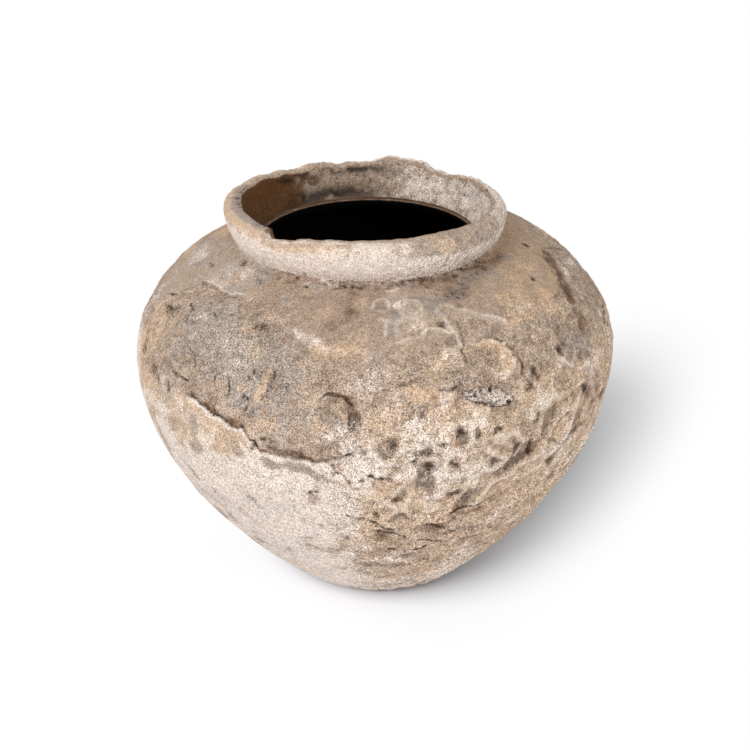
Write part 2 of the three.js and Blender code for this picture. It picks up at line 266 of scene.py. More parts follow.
class Wall:
    """Outer face of the bare body: a foot curve and a shoulder curve turned round the axis."""

    def __init__(self, shape):
        foot, belly = shape.foot_radius / MILLIMETRE, shape.belly_radius / MILLIMETRE
        waist, top = shape.belly_height / MILLIMETRE, shape.neck_height / MILLIMETRE
        neck = shape.neck_radius / MILLIMETRE
        knee = (foot + shape.foot_flare / MILLIMETRE, shape.foot_rise / MILLIMETRE)
        full = waist + (top - waist) * shape.fullness_above
        level = (neck + shape.shoulder_reach / MILLIMETRE, top - shape.shoulder_drop / MILLIMETRE)
        lower = self.curve((foot, 0), knee, (belly, waist * (1 - shape.fullness_below)), (belly, waist))
        upper = self.curve((belly, waist), (belly, full), level, (neck, top))
        line = np.concatenate([lower, upper[1:]])
        steps = np.hypot(np.diff(line[:, 0]), np.diff(line[:, 1]))
        self.along = np.concatenate([[0.0], np.cumsum(steps)])
        self.radius = line[:, 0]
        self.height = line[:, 1]
        way = np.gradient(line, self.along, axis=0)
        way /= np.linalg.norm(way, axis=1, keepdims=True)
        self.out_radius = way[:, 1]
        self.out_height = -way[:, 0]
        self.belly = self.along[len(lower) - 1]
        self.neck = self.along[-1]
        self.lean = shape.shoulder_lean / MILLIMETRE
        self.shift = shape.neck_shift / MILLIMETRE
        self.sag = shape.shoulder_sag / MILLIMETRE
        self.sag_down = shape.sag_down / MILLIMETRE
        self.sag_spread = shape.sag_spread / MILLIMETRE

    @staticmethod
    def curve(a, b, c, d):
        """Cubic curve through two ends and two pulls, with Bernstein weights."""
        t = np.linspace(0, 1, 1201)[:, None]
        a, b, c, d = np.array(a), np.array(b), np.array(c), np.array(d)
        return a * (1 - t) ** 3 + 3 * b * t * (1 - t) ** 2 + 3 * c * t * t * (1 - t) + d * t**3

    def at(self, angle, along, out):
        """Point at an angle, a length up the profile and a distance off the wall, sunk by the sag of the
        left shoulder and shifted by the lean."""
        down = self.neck - along
        left = ease(-np.cos(angle), 0.35, 0.9)
        out = out - self.sag * left * bell(down - self.sag_down, self.sag_spread) * ease(down, 0, 14)
        radius = (
            np.interp(along, self.along, self.radius)
            + out * np.interp(along, self.along, self.out_radius)
        )
        height = (
            np.interp(along, self.along, self.height)
            + out * np.interp(along, self.along, self.out_height)
        )
        part = np.clip((along - self.belly) / (self.neck - self.belly), 0, 1)
        lean = self.lean * np.sin(np.pi * part) - self.shift * ease(part)
        return np.stack([lean + radius * np.cos(angle), radius * np.sin(angle), height], axis=-1)

    def up_to(self, height):
        """Length along the profile at a height."""
        return np.interp(height, self.height, self.along)


COAT_EDGE = (
    (-180, 0.2), (-160, 0.2), (-148, 0.18), (-140, 0.19), (-134, 0.26), (-129, 0.18), (-124, 0.1),
    (-120.5, 0.09), (-118, -0.06), (-115.5, -0.17), (-108, -0.2), (-100.5, -0.2), (-98, -0.35),
    (-94.5, -0.6), (-80, -0.86), (-62, -1), (-45, -0.78), (-20, -0.44), (10, -0.26), (60, 0.04),
    (95, -0.18), (130, 0.13),
)
SKIN_REACH = (
    (-180, 1), (-168, 0.95), (-162, 0.72), (-157, 0.48), (-150, 0.44), (-143, 0.45), (-136, 0.41),
    (-130, 0.41), (-125.5, 0.49), (-120, 0.54), (-114, 0.63), (-107, 0.7), (-97, 0.85), (-91, 0.89),
    (-84, 0.8), (-74, 0.71), (-62, 0.6), (-48, 0.6), (-39, 0.64), (-29, 0.75), (-25, 0.72), (-18, 0.56),
    (-13, 0.47), (-4, 0.42), (12, 0.39), (40, 0.52), (75, 0.7), (110, 0.6), (145, 0.85),
)
RIM_WEAR = (
    (-180, 0), (-135.5, 0), (-134, 0.65), (-126, 0.5), (-115, 0.2), (-104, 0.04), (-60, 0.06),
    (-25, 0.16), (0, 0.52), (16, 0.62), (28, 0.56), (41, 0.74), (50, 1), (57, 0.92), (65, 0.42),
    (79, 0.28), (90, 0.7), (103, 0.76), (112, 0.52), (126, 0.66), (136, 0.48), (152, 0.28),
)


def ragged(angle, seed, wander):
    """Small wander of a broken edge: two sizes of noise read round a circle."""
    ring = on_rings(angle, 158, 0.0)
    return wander * (cloud(ring, 11, seed) + 0.6 * cloud(ring, 4.2, seed + 1))


def coat_top(wall, angle):
    """Length along the profile of the lime coat's broken upper edge."""
    return wall.belly + COAT_SPAN * around(angle, COAT_EDGE) + ragged(angle, 21, 1.5)


def skin_foot(wall, angle):
    """Length along the profile of the smooth skin's lower edge."""
    return wall.neck - SKIN_SPAN * around(angle, SKIN_REACH) + ragged(angle, 25, 1.5)


def coat_crisp(angle):
    """Where the coat ends in a broken step, not in a feathered edge."""
    return np.maximum(sector(angle, -137, -93, 3), sector(angle, 92, 128, 26))


def skin_crisp(angle):
    """Where the skin ends in a broken step."""
    return np.maximum(
        sector(angle, -161, -134, 6), np.maximum(sector(angle, -32, -2, 6), sector(angle, 70, 104, 22)),
    )


class Chart:
    """Flat map of the wall, on which single marks are placed by direction and height."""

    def __init__(self, wall, angle, along, wander):
        self.wall, self.angle, self.along, self.wander = wall, angle, along, wander

    def radius(self, degrees, height, wide, tall, tilt):
        """Distance from a place, as a share of an ellipse's reach in that direction."""
        middle = self.wall.up_to(height)
        across = turn_between(self.angle, degrees) * np.interp(middle, self.wall.along, self.wall.radius)
        up = self.along - middle
        slant = math.radians(tilt)
        first = (across * math.cos(slant) + up * math.sin(slant)) / wide
        second = (up * math.cos(slant) - across * math.sin(slant)) / tall
        return np.hypot(first, second) + self.wander / math.sqrt(wide * tall)

    def blot(self, degrees, height, wide, tall, tilt=0.0, soft=0.5):
        """1 inside an ellipse with a wandering outline, falling to 0 across its soft rim."""
        return 1 - ease(self.radius(degrees, height, wide, tall, tilt), 1 - soft, 1 + soft)

    def loop(self, degrees, height, wide, tall, width, tilt=0.0):
        """Ridge along an ellipse: a bell curve of the distance from its line."""
        away = (self.radius(degrees, height, wide, tall, tilt) - 1) * math.sqrt(wide * tall)
        return bell(away, width)

    def stroke(self, width, *places):
        """Bell curve of the distance from a line through several places."""
        lengths = [float(self.wall.up_to(place[1])) for place in places]
        radius = np.interp(np.mean(lengths), self.wall.along, self.wall.radius)
        corners = [
            (math.radians(place[0] - places[0][0]) * radius, length)
            for place, length in zip(places, lengths)
        ]
        across = turn_between(self.angle, places[0][0]) * radius
        nearest = np.full(self.angle.shape, 1e6)
        for start, end in zip(corners[:-1], corners[1:]):
            run, climb = end[0] - start[0], end[1] - start[1]
            first, second = across - start[0], self.along - start[1]
            t = np.clip((first * run + second * climb) / (run * run + climb * climb), 0, 1)
            nearest = np.minimum(nearest, np.hypot(first - t * run, second - t * climb))
        return bell(nearest + 0.4 * self.wander, width)

    def blots(self, soft, marks):
        """Several blots together, each given as for blot; a mark with no tilt or rim of its own gets none
        and soft."""
        return np.clip(sum(self.blot(*mark, *(0.0, soft)[len(mark) - 4:]) for mark in marks), 0, 1)

    def pits(self, marks):
        """Several loose clusters of dark grains, each given by its direction, height, width and depth."""
        spread = 1.4
        return self.blots(0.9, [(*mark[:2], spread * mark[2], spread * mark[3]) for mark in marks])

    def strokes(self, marks):
        """Several strokes together, each given as for stroke."""
        return np.clip(sum(self.stroke(*mark) for mark in marks), 0, 1)


# Layers: up is the height off the wall, the rest are stains. The dark and brown stains, the pale-line stain
# and the soot stain also carry painted shade or painted highlight at some marks, besides real colour.
LAYERS = ("up", "lime", "tan", "grey", "brown", "rust", "dark", "thread", "soot")


class Crust:
    """Height off the bare wall and the stains at each place of it, filled in by one group of marks after
    another."""

    def __init__(self, wall, angle, along, grit):
        self.wall, self.angle, self.along = wall, angle, along
        self.spot = wall.at(angle, along, np.zeros_like(along))
        self.height = self.spot[..., 2]
        self.swell = cloud(self.spot, 52, 1)
        self.lump = cloud(self.spot, 23, 2)
        self.mid = cloud(self.spot, 10.5, 3)
        self.crumb = cloud(self.spot, 5.6, 4)
        self.fine = cloud(self.spot, 3.0, 5)
        self.patchy = cloud(self.spot, 34, 6)
        self.blotch = cloud(self.spot, 15, 7)
        drift = cloud(self.spot, 13, 8) + 0.5 * cloud(self.spot, 5, 9)
        sway = cloud(self.spot, 13, 10) + 0.5 * cloud(self.spot, 5, 11)
        wander = 0.8 * self.crumb + 0.5 * self.fine
        self.chart = Chart(wall, angle + 1.4 * drift / 145, along + 1.4 * sway, wander)
        self.below = along - coat_top(wall, angle)
        self.above = along - skin_foot(wall, angle)
        self.crisp = coat_crisp(angle)
        self.broken = skin_crisp(angle)
        feathered = 1 - ease(self.below + 9 * self.lump, -24, 14)
        self.on_coat = self.crisp * (1 - ease(self.below, -0.6, 0.6)) + (1 - self.crisp) * feathered
        feathered = ease(self.above + 7 * self.lump, -12, 12)
        self.on_skin = self.broken * ease(self.above, -0.6, 0.6) + (1 - self.broken) * feathered
        turned = np.degrees(turn_between(angle, 0)) + 15 * self.lump + 7 * self.mid
        self.front_right = sector(angle, -98, 60, 16) * (1 - ease(turned, -22, 46))
        calm = self.on_coat * (1 - 0.8 * self.front_right) * 0.74
        calm = calm + self.on_skin * (0.72 - 0.16 * sector(angle, -128, -52, 14))
        self.rough = (1 - np.clip(calm, 0, 0.8)) * grit
        self.still = np.zeros_like(along)
        self.layers = {name: np.zeros_like(along) for name in LAYERS}

    def add(self, **amounts):
        """Adds to the height and the stains named."""
        for name, amount in amounts.items():
            self.layers[name] = self.layers[name] + amount

    def fade(self, share, *names):
        """Takes a share off the stains named."""
        for name in names:
            self.layers[name] = self.layers[name] * (1 - share)

    def ground(self):
        """Swells, crust in thin ledges, pits and pebbles, and the broad tones of the clay."""
        lively = self.rough * (1 + 0.2 * sector(self.angle, -86, -20, 30))
        stair = 2.3 * (0.8 * self.lump + 0.5 * self.mid + 0.22 * self.crumb)
        ledge = np.floor(stair) + ease(stair - np.floor(stair), 0.72, 1.0)
        near, number = grains(self.spot, 11, 31)
        ragged_near = near + 0.6 * self.crumb + 0.4 * self.fine
        pit = (number < 0.34) * (1 - ease(ragged_near, 0.3 + 1.2 * number, 1.0 + 2.8 * number))
        close, pebble_number = grains(self.spot, 5.2, 41)
        pebble = (pebble_number > 0.55) * np.clip(1 - (close / 2.1) ** 2, 0, 1)
        self.add(up=1.2 + 0.65 * self.swell + 0.35 * self.lump * (1 - 0.5 * self.on_skin))
        uneven = 0.3 * self.mid + 0.3 * self.crumb + 0.3 * self.fine + 0.4 * (ledge - 0.75 * stair)
        self.add(up=lively * uneven)
        self.add(up=lively * (0.3 * pebble - 1.1 * pit))
        worn = 0.25 * ease(self.blotch - 0.4 * self.lump, 0.3, 0.7) * self.rough
        self.add(lime=0.14 + 0.28 * ease(self.patchy, 0.0, 0.7) - 0.1 * self.on_skin + worn)
        self.add(tan=0.45 * ease(self.blotch + 0.5 * self.swell, 0.15, 0.75))
        self.add(grey=0.5 * ease(-self.blotch + 0.6 * self.patchy, 0.2, 0.8))
        damp = 0.22 * ease(-self.mid - self.lump, 0.3, 0.9) * self.rough
        self.add(brown=0.25 * ease(-self.patchy - 0.3 * self.blotch, 0.2, 0.8) + damp)
        self.add(dark=0.45 * pit * self.rough)

    def coat_rim(self):
        """Broken edge of the lime coat: a painted highlight along the coat's rim, and painted shade in dark
        and brown on the wall above it, with dark pits.
        """
        jagged = self.below + 0.5 * self.fine + 0.4 * self.crumb
        loose = np.clip(0.5 + 0.8 * self.blotch + 0.4 * self.lump, 0.12, 1)
        shade = bell(jagged - 0.9, 1.0 + 0.5 * self.lump) * (self.below > -0.2) * loose
        self.add(up=-0.7 * self.crisp * bell(jagged - 1.2, 1.4) * (self.below > -1))
        # Painted shade on the wall just above the coat's edge, and a wider brown band of painted shade above
        # that.
        self.add(
            dark=0.9 * self.crisp * shade,
            brown=0.25 * self.crisp * bell(self.below - 3, 5) * (self.below > 0),
        )
        # Painted highlight: a pale line along the top of the coat's edge.
        self.add(thread=0.7 * self.crisp * bell(self.below + 0.45, 0.6) * (self.below <= 0.2))
        chart = self.chart
        # Dark and brown band of painted shade above the coat's edge on the left.
        shade_band = (
            chart.stroke(3.2, (-130, 179), (-124, 176.5), (-119.5, 174))
            + chart.stroke(2.6, (-113, 165), (-107, 162))
        )
        self.add(dark=0.42 * shade_band * ease(self.crumb + self.fine, -0.4, 0.5), brown=0.35 * shade_band)
        spots = chart.blots(0.5, (
            (-114.8, 169.4, 2.6, 1.6), (-112.9, 169, 2.4, 1.5), (-117, 164, 1.7, 2.4),
            (-99, 153, 1.5, 1.5), (-93.3, 148, 1.8, 1.4), (-91.3, 151.5, 1.8, 1.4),
            (-95.7, 164.9, 2.6, 1.0), (-93, 167, 2, 0.9),
        ))
        self.add(up=-0.9 * spots, dark=0.62 * spots)
        terrace = (
            (-100.2, 159.3), (-99.1, 161), (-95.7, 164.2), (-92.8, 167), (-90.2, 166.8), (-89, 161.5),
            (-87.5, 158),
        )
        ledge = chart.stroke(1.1, *terrace)
        over = chart.stroke(1.0, *[(degrees, height + 1.8) for degrees, height in terrace])
        bed = chart.blot(-94, 155, 15, 7, 8, 0.5)
        self.add(up=0.5 * ledge - 0.5 * over + 0.4 * bed, thread=0.55 * ledge, lime=0.3 * bed)
        self.add(dark=0.45 * over * ease(self.mid, -0.5, 0.3))

    def coat_tones(self):
        """Tan and beige under the coat's left edge, white blooms, grey smears on its right, a rusty
        foot."""
        chart = self.chart
        quiet = self.on_coat * (1 - 0.9 * self.front_right)
        uneven = at_least(0.55, self.blotch + 0.6 * self.mid, -0.4, 0.5)
        golden = chart.blots(0.9, (
            (-138, 157, 20, 18, -20), (-124, 157, 15, 13, -20), (-155, 162, 22, 18),
        ))
        beige = sector(self.angle, -137, -117, 4) * bell(self.below + 4, 4.2) * (self.below < -0.9)
        bloom = chart.blots(0.9, (
            (-131, 132, 15, 11), (-119, 142, 12, 12), (-113, 127, 12, 16), (-112, 100, 9, 12),
            (-112, 64, 10, 9), (-124, 55, 10, 8),
        ))
        mottle = chart.blots(0.9, ((-130.5, 108, 15, 10, -20), (-122, 116, 9, 7), (-137, 100, 9, 7)))
        smear = chart.strokes(((3.6, (-114.5, 157), (-108, 154), (-104, 152.6), (-100, 149), (-96.7, 145)),))
        ochre = chart.blots(0.9, ((-101, 106, 11, 9), (-100, 88, 10, 9), (-93, 104, 9, 9)))
        self.fade(0.5 * quiet, "tan")
        self.fade(0.6 * quiet, "grey")
        self.add(lime=quiet * (0.74 + 0.3 * self.blotch) + 0.8 * bloom * self.on_coat)
        self.add(lime=0.3 * self.on_coat * self.front_right * ease(self.height, 52, 32))
        self.add(tan=0.95 * golden * uneven + 0.5 * ochre * uneven)
        self.fade(0.7 * golden * uneven, "lime")
        self.add(grey=0.6 * smear + 0.7 * mottle * uneven + 0.25 * self.on_coat * ease(self.height, 60, 28))
        self.fade(0.55 * smear + 0.45 * mottle * uneven, "lime")
        cloudy = quiet * ease(-self.blotch - 0.5 * self.mid, 0.0, 0.6)
        self.fade(0.4 * cloudy, "lime")
        self.add(grey=0.4 * cloudy)
        self.add(
            tan=0.5 * beige, grey=0.45 * beige, brown=0.16 * smear + 0.2 * ochre * uneven + 0.12 * beige,
        )
        self.fade(0.6 * beige, "lime")
        side = self.on_coat * sector(self.angle, -200, -150, 20)
        self.add(tan=0.45 * side * ease(self.height, 95, 150))
        stray = 9 * self.lump + 4 * self.mid
        turned = np.degrees(turn_between(self.angle, -160)) + 0.22 * (self.height - 75) + 0.6 * stray
        limb = (
            (1 - ease(np.abs(turned), 5, 21)) * ease(self.height + stray, 22, 56)
            * ease(self.height + stray, 126, 92)
        )
        limb = limb * uneven
        self.add(
            rust=0.7 * ease(self.height + 3 * self.mid, 11, 3) + 0.42 * limb, brown=0.2 * limb,
            tan=0.2 * limb,
        )
        self.fade(0.5 * limb, "lime")
        faint = chart.loop(-105, 134, 8, 5, 1.0) * ease(self.mid, -0.4, 0.3)
        pits = chart.blots(0.5, (
            (-105, 136.4, 1.7, 1.0), (-103.6, 137.8, 1.6, 0.9), (-104, 108, 1.4, 1.0),
        ))
        self.add(thread=0.22 * faint, dark=0.6 * pits, up=-0.8 * pits)
        nub = chart.blot(-93.5, 6, 5, 5, 0, 0.6)
        self.add(rust=0.6 * nub)

    def laminations(self):
        """Thin sheets low on the front right, their dark edges, and the ochre stain round them."""
        chart = self.chart
        level = (self.height + 0.14 * self.spot[..., 0] + 4 * self.swell) / 6.5
        sheet = np.stack([self.spot[..., 0] / 30, self.spot[..., 1] / 30, level], axis=-1)
        leaf = cloud(sheet, 1.0, 51) + 0.45 * cloud(sheet, 0.5, 52)
        leafy = (
            sector(self.angle, -98, -58, 20) * ease(self.height, 44, 62)
            * (1 - ease(self.height, 106, 124))
        )
        leafy = leafy * ease(self.lump, -0.5, 0.4)
        self.add(up=leafy * 0.6 * (ease(leaf, -0.12, 0.1) + 0.4 * leaf - 0.5))
        self.add(dark=0.6 * leafy * bell(leaf + 0.02, 0.1), brown=0.5 * leafy * ease(leaf, 0.1, -0.2))
        stain = chart.blots(0.9, ((-89, 85, 10, 9), (-80, 88, 12, 8), (-91, 117, 8, 7), (-60, 116, 9, 8)))
        self.add(tan=0.5 * stain, brown=0.42 * stain * ease(self.blotch + self.mid, -0.6, 0.4))
        edges = chart.strokes((
            (1.0, (-96.7, 118.9), (-95, 116), (-92.6, 117.6), (-90.4, 112.5)),
            (0.9, (-90.4, 113.4), (-88, 108.5), (-86, 106.6)),
            (1.1, (-90.4, 105.5), (-86, 103.3), (-82.5, 95.6), (-78, 91), (-73.5, 87), (-70, 84.3)),
            (1.3, (-86.7, 83.8), (-82, 80.3), (-77.5, 82), (-76.4, 85)), (0.8, (-91, 60), (-86, 60.8)),
            (0.8, (-56, 63.4), (-50, 57)), (1.2, (-79, 110.6), (-73, 102.3), (-70, 95)),
            (0.8, (-75.7, 110.8), (-73.5, 113.8), (-69.3, 116.4), (-64, 117.5)),
        ))
        edges = edges * at_least(0.2, self.mid + 0.6 * self.fine, -0.6, 0.2)
        self.add(up=-0.9 * edges, dark=0.85 * edges, brown=0.45 * edges)
        wedge = chart.blot(-75, 107, 9, 6, 18, 0.6)
        self.add(grey=0.7 * wedge, brown=0.25 * wedge)
        deep = chart.blots(0.8, ((-50.6, 95, 3.4, 2.6), (-47, 96, 3.4, 2.6), (-62, 105.5, 4.6, 2.6)))
        self.add(dark=0.45 * deep * ease(self.crumb, -0.5, 0.4), brown=0.3 * deep)

    def left_shoulder(self):
        """Thin bright edge of the skin, black grains, cracks and a broad orange-tan patch."""
        chart = self.chart
        broken_up = at_least(0.35, self.mid, -0.5, 0.3)
        ridge = sector(self.angle, -158, -137, 5) * bell(self.above - 0.7, 0.8) * broken_up
        tongue = chart.stroke(2.6, (-152, 233.8), (-146.7, 235), (-140, 234.6))
        self.add(up=0.3 * ridge + 0.25 * tongue - 0.4 * self.broken * bell(self.above + 1.4, 1.4))
        self.add(thread=0.6 * ridge, grey=0.55 * tongue, lime=0.12 * tongue)
        seep = (
            sector(self.angle, -137, -96, 5) * bell(self.above - 0.3, 1.8)
            * ease(self.mid + 0.5 * self.crumb, -0.4, 0.3)
        )
        bright = chart.stroke(3.0, (-114, 225), (-109, 223.2), (-105, 221.8), (-103, 220))
        self.add(up=0.3 * seep + 0.3 * bright, lime=0.22 * seep + 0.3 * bright)
        self.add(thread=0.3 * chart.stroke(0.8, (-101.6, 220), (-98.7, 219), (-96, 216.8)))
        honey = chart.blots(0.8, (
            (-120.4, 230.1, 4.5, 3.5), (-104.4, 217.9, 7, 3.4), (-98.4, 218.4, 8, 3.6),
        ))
        self.add(tan=0.55 * honey)
        bare = self.on_skin * sector(self.angle, -134, -86, 14) * ease(self.above, 2, 10)
        self.add(brown=0.18 * bare * ease(self.along - self.wall.neck, -4, -14), grey=0.15 * bare)
        cracks = chart.strokes((
            (0.8, (-152.8, 221), (-150.4, 218.6), (-149, 213)), (0.7, (-141.1, 224.1), (-138.4, 222.2)),
            (0.7, (-135, 225.2), (-131, 223.7)), (0.6, (-167, 214), (-163, 217)),
            (0.7, (-130.5, 203.2), (-128.8, 191), (-128, 179)),
            (0.7, (-126.2, 199.2), (-125, 194.8), (-125.1, 189)),
            (0.6, (-143, 205), (-139, 201), (-137, 196)), (0.6, (-146, 190), (-142, 187), (-138, 188)),
        ))
        cracks = cracks * at_least(0.3, self.mid + 0.5 * self.fine, -0.5, 0.2)
        clump = chart.pits((
            (-162, 210.6, 4.6, 2.4), (-157, 211.4, 4.6, 3.0), (-156, 215.4, 2.8, 1.8),
            (-122.5, 224.8, 3.4, 2.4), (-153.6, 179.6, 2.6, 2.8), (-151, 177.4, 2.2, 2.2),
            (-162.2, 184.4, 3, 3), (-145, 178.4, 2.4, 1.8), (-176, 191, 2.6, 2.2),
            (-165, 235.6, 2.6, 1.5), (-149.4, 241, 3, 1.8), (-134, 239.8, 2.4, 1.5),
        ))
        self.add(up=-0.9 * cracks - 0.7 * clump, dark=0.85 * cracks + 0.58 * clump)
        warm = chart.blots(0.9, ((-161, 200, 19, 15, 24), (-166, 178, 13, 15), (-159, 162, 12, 10)))
        warm = warm * at_least(0.6, self.blotch + self.mid, -0.6, 0.4)
        self.fade(warm, "grey")
        self.add(tan=warm + 0.2 * self.on_skin * sector(self.angle, -215, -158, 16), lime=0.14 * warm)
        pale = self.on_skin * sector(self.angle, -190, -130, 16)
        self.add(grey=0.4 * pale, lime=0.16 * pale, rust=0.26 * warm)
        cool = chart.blots(0.9, (
            (-146, 220, 12, 9), (-138, 225, 10, 7), (-134, 212, 16, 11), (-127, 210, 10, 9),
        ))
        self.add(grey=0.5 * cool, lime=0.2 * cool)
        self.still += 0.9 * warm + tongue + bright

    def crust_marks(self):
        """On the grey crust: a broken flake, salt beside it, a small arch over a stone, pale roots."""
        chart = self.chart
        flake = chart.stroke(2.2, (-115.3, 205), (-115.8, 198.7), (-116.7, 193.4), (-117.9, 188))
        edge = chart.stroke(0.7, (-114, 205.3), (-114, 201.4), (-114.4, 197.4), (-115.4, 193.5))
        arch = chart.stroke(
            0.8, (-121, 189), (-120.2, 190.8), (-119.4, 189.4), (-119.1, 187), (-119.5, 184.4),
        )
        stone = chart.blot(-124.2, 182.4, 7.5, 5, 0, 0.6)
        salt = chart.blot(-118.4, 201.5, 6, 6, 0, 0.6)
        gap = salt * ease(-self.fine - 0.5 * self.crumb, 0.05, 0.4)
        root = (
            chart.stroke(0.9, (-128.8, 195), (-126.2, 201.7), (-123.3, 206.5))
            * ease(self.mid + 0.4 * self.fine, -0.5, 0.3)
        )
        self.add(up=0.7 * flake - edge - 0.7 * gap - 0.8 * arch + 0.7 * stone + 0.3 * root)
        self.add(
            dark=0.75 * edge + 0.6 * gap + 0.8 * arch, tan=0.5 * flake,
            lime=0.15 * flake + 0.2 * salt + 0.2 * stone,
        )
        self.add(thread=0.45 * root)
        golden = chart.blots(0.8, ((-114, 179.4, 9, 3.4), (-103, 181.8, 5, 4), (-121.5, 195, 3.4, 3.4)))
        self.add(tan=0.55 * golden, rust=0.15 * golden)
        dull = (
            sector(self.angle, -152, -100, 12) * ease(self.height, 172, 184) * (1 - self.on_skin)
            * (1 - self.on_coat)
        )
        self.add(grey=0.35 * dull, brown=0.1 * dull)
        self.fade(0.4 * dull, "lime")
        self.still += flake

    def dent(self):
        """Shallow dent under a thin overhanging line, which is painted dark and brown as the shade under it,
        with mottled painted shade at its right.
        """
        chart = self.chart
        hollow = chart.blot(-98.6, 190, 12, 10, 0, 0.6)
        # The thin line: a groove painted dark and brown, standing for the shade under the overhang.
        lip = chart.stroke(
            0.85, (-102.4, 197), (-101, 198.9), (-99.7, 199.4), (-97.9, 198.9), (-96.4, 197),
            (-95.4, 194),
        )
        # Painted shade at the dent's right, mottled by noise.
        dent_shade = chart.blots(0.9, ((-95.4, 190.5, 4.4, 8.5), (-94.6, 183, 4.4, 5)))
        mottled_shade = dent_shade * ease(self.crumb + self.fine, -0.5, 0.4)
        self.add(up=-1.5 * hollow - 0.8 * lip - 0.6 * dent_shade)
        self.add(dark=0.5 * lip + 0.5 * mottled_shade, brown=0.6 * lip + 0.5 * dent_shade + 0.15 * hollow)
        self.add(lime=0.3 * chart.blot(-93, 205.5, 11, 7, 0, 0.9))

    def flow(self):
        """Thin pale loops and arcs left by worms and roots in the smooth flow, and the grey stains
        between them."""
        chart = self.chart
        loops = chart.loop(-77.4, 234.6, 7.2, 7.2, 0.9) + 0.4 * chart.loop(-77.4, 234.6, 4.8, 4.8, 0.7)
        loops = loops + chart.loop(-86.4, 236, 5, 4.8, 0.9) + 0.4 * chart.loop(-79.5, 226.5, 9, 8, 0.9)
        arcs = chart.strokes((
            (0.9, (-86.7, 225.8), (-86.2, 230), (-88, 231)),
            (0.9, (-86.2, 230), (-83.2, 229.3), (-79.8, 230.9), (-76.4, 231)),
            (
                1.2, (-70.5, 232), (-69.1, 233.7), (-67.6, 234.5), (-64.4, 232.6), (-60.2, 230.3),
                (-54.2, 226.3), (-51.6, 223),
            ),
            (1.6, (-69.3, 230.8), (-68.6, 227.6), (-67.6, 224.7), (-67, 220.6), (-66.9, 217.7)),
            (0.8, (-67.9, 224), (-71, 225.6), (-74.2, 225.6), (-77.7, 223.5), (-82, 223), (-87, 222)),
            (1.0, (-94.3, 220.4), (-92.7, 218), (-91.3, 215.4)),
            (0.9, (-72.4, 215.8), (-70.5, 217), (-68.8, 216)),
        ))
        thread = np.clip(loops + arcs, 0, 1) * at_least(0.45, self.mid + 0.5 * self.fine, -0.5, 0.35)
        skirt = chart.stroke(3.2, (-64, 230.5), (-60, 228.6), (-54.5, 225), (-51.5, 220))
        self.add(up=0.45 * thread + 0.3 * skirt, thread=0.5 * thread, lime=0.22 * skirt)
        smear = chart.strokes((
            (6.0, (-62, 236), (-55.3, 238.8), (-48.7, 239.3), (-38.6, 240.4), (-27, 240.7)),
        ))
        damp = chart.strokes(((2.6, (-76, 237.4), (-66.2, 235.9), (-59, 235.3)),))
        veil = np.clip(
            smear + damp + chart.blot(-83, 232.6, 4, 4) + chart.blot(-71.4, 234, 3.4, 3.4), 0, 1,
        )
        self.fade(0.6 * veil, "lime", "tan")
        self.add(grey=0.75 * veil, brown=0.16 * veil, dark=0.34 * smear + 0.2 * damp)
        leaf = chart.blot(-70.2, 214, 5.5, 5, 0, 0.6)
        self.add(up=0.4 * leaf, lime=0.25 * leaf, tan=0.45 * leaf)
        even = sector(self.angle, -112, -66, 14) * ease(self.height, 208, 224)
        self.add(grey=0.2 * even, brown=0.12 * even)
        self.still += 0.7 * thread + veil + skirt

    def right_front(self):
        """Tan patches, rings round holes, mounds, grooves and clusters of pits on the right of the
        front."""
        chart = self.chart
        low_right = self.front_right * (1 - self.on_skin) * ease(self.height, 204, 186)
        self.add(tan=0.54 * low_right, lime=0.1 * low_right * ease(self.height, 96, 128))
        self.fade(0.5 * low_right, "grey")
        curl = cloud(self.spot, 19, 71) + 0.22 * self.mid
        curly = (
            sector(self.angle, -90, -24, 14) * ease(self.height, 108, 124)
            * (1 - ease(self.height, 180, 200))
        )
        tube = bell(curl - 0.1, 0.11) * curly * ease(self.lump + 0.4 * self.mid, -0.6, 0.3)
        inner = ease(curl, 0.25, 0.6) * curly
        self.add(up=tube - 1.1 * inner, thread=0.36 * tube, grey=0.55 * inner, brown=0.28 * inner)
        self.fade(0.5 * inner, "lime", "tan")
        self.add(dark=0.6 * inner * ease(self.crumb + 0.7 * self.fine, 0.0, 0.6))
        rings = 0.8 * chart.loop(-63.3, 148.6, 8, 5, 1.3) + 0.7 * chart.loop(-72.7, 153, 6.3, 10, 1.3)
        rings = rings + chart.strokes((
            (1.8, (-67, 167), (-64.6, 159), (-60.8, 151.5)),
            (1.5, (-90.2, 166.8), (-89, 161.4), (-87.7, 158), (-86, 159)),
            (1.6, (-84.6, 170), (-82.5, 171), (-80.5, 169.5)),
            (1.4, (-58, 150), (-56, 158), (-58, 167), (-63, 169)),
            (1.2, (-48, 180), (-50.6, 172), (-50.8, 160)), (1.2, (-44, 165), (-41, 158), (-43, 152)),
        ))
        rings = np.clip(rings, 0, 1) * at_least(0.4, self.mid + 0.5 * self.fine, -0.5, 0.35)
        self.add(up=0.7 * rings, thread=0.45 * rings, lime=0.12 * rings)
        mounds = chart.blots(0.9, (
            (-85.5, 190, 9, 10), (-84.3, 168, 6, 5, 0, 0.8), (-80, 149.5, 8, 7), (-71.5, 148.9, 7, 6),
            (-68.4, 183, 8, 7), (-41.7, 195.3, 6, 3.4, 0, 0.8), (-49.4, 178, 7, 7),
        ))
        self.add(up=0.6 * mounds, lime=0.15 * mounds * at_least(0.5, self.mid + self.fine, -0.6, 0.4))
        honey = chart.blots(0.8, (
            (-76.3, 208.8, 6.5, 6, 0, 0.9), (-73.5, 193.7, 4.8, 5), (-49, 222, 7, 5),
            (-37, 184, 7, 6, 0, 0.9),
        ))
        orange = chart.blot(-79.5, 198.4, 11.5, 5, -10, 0.6)
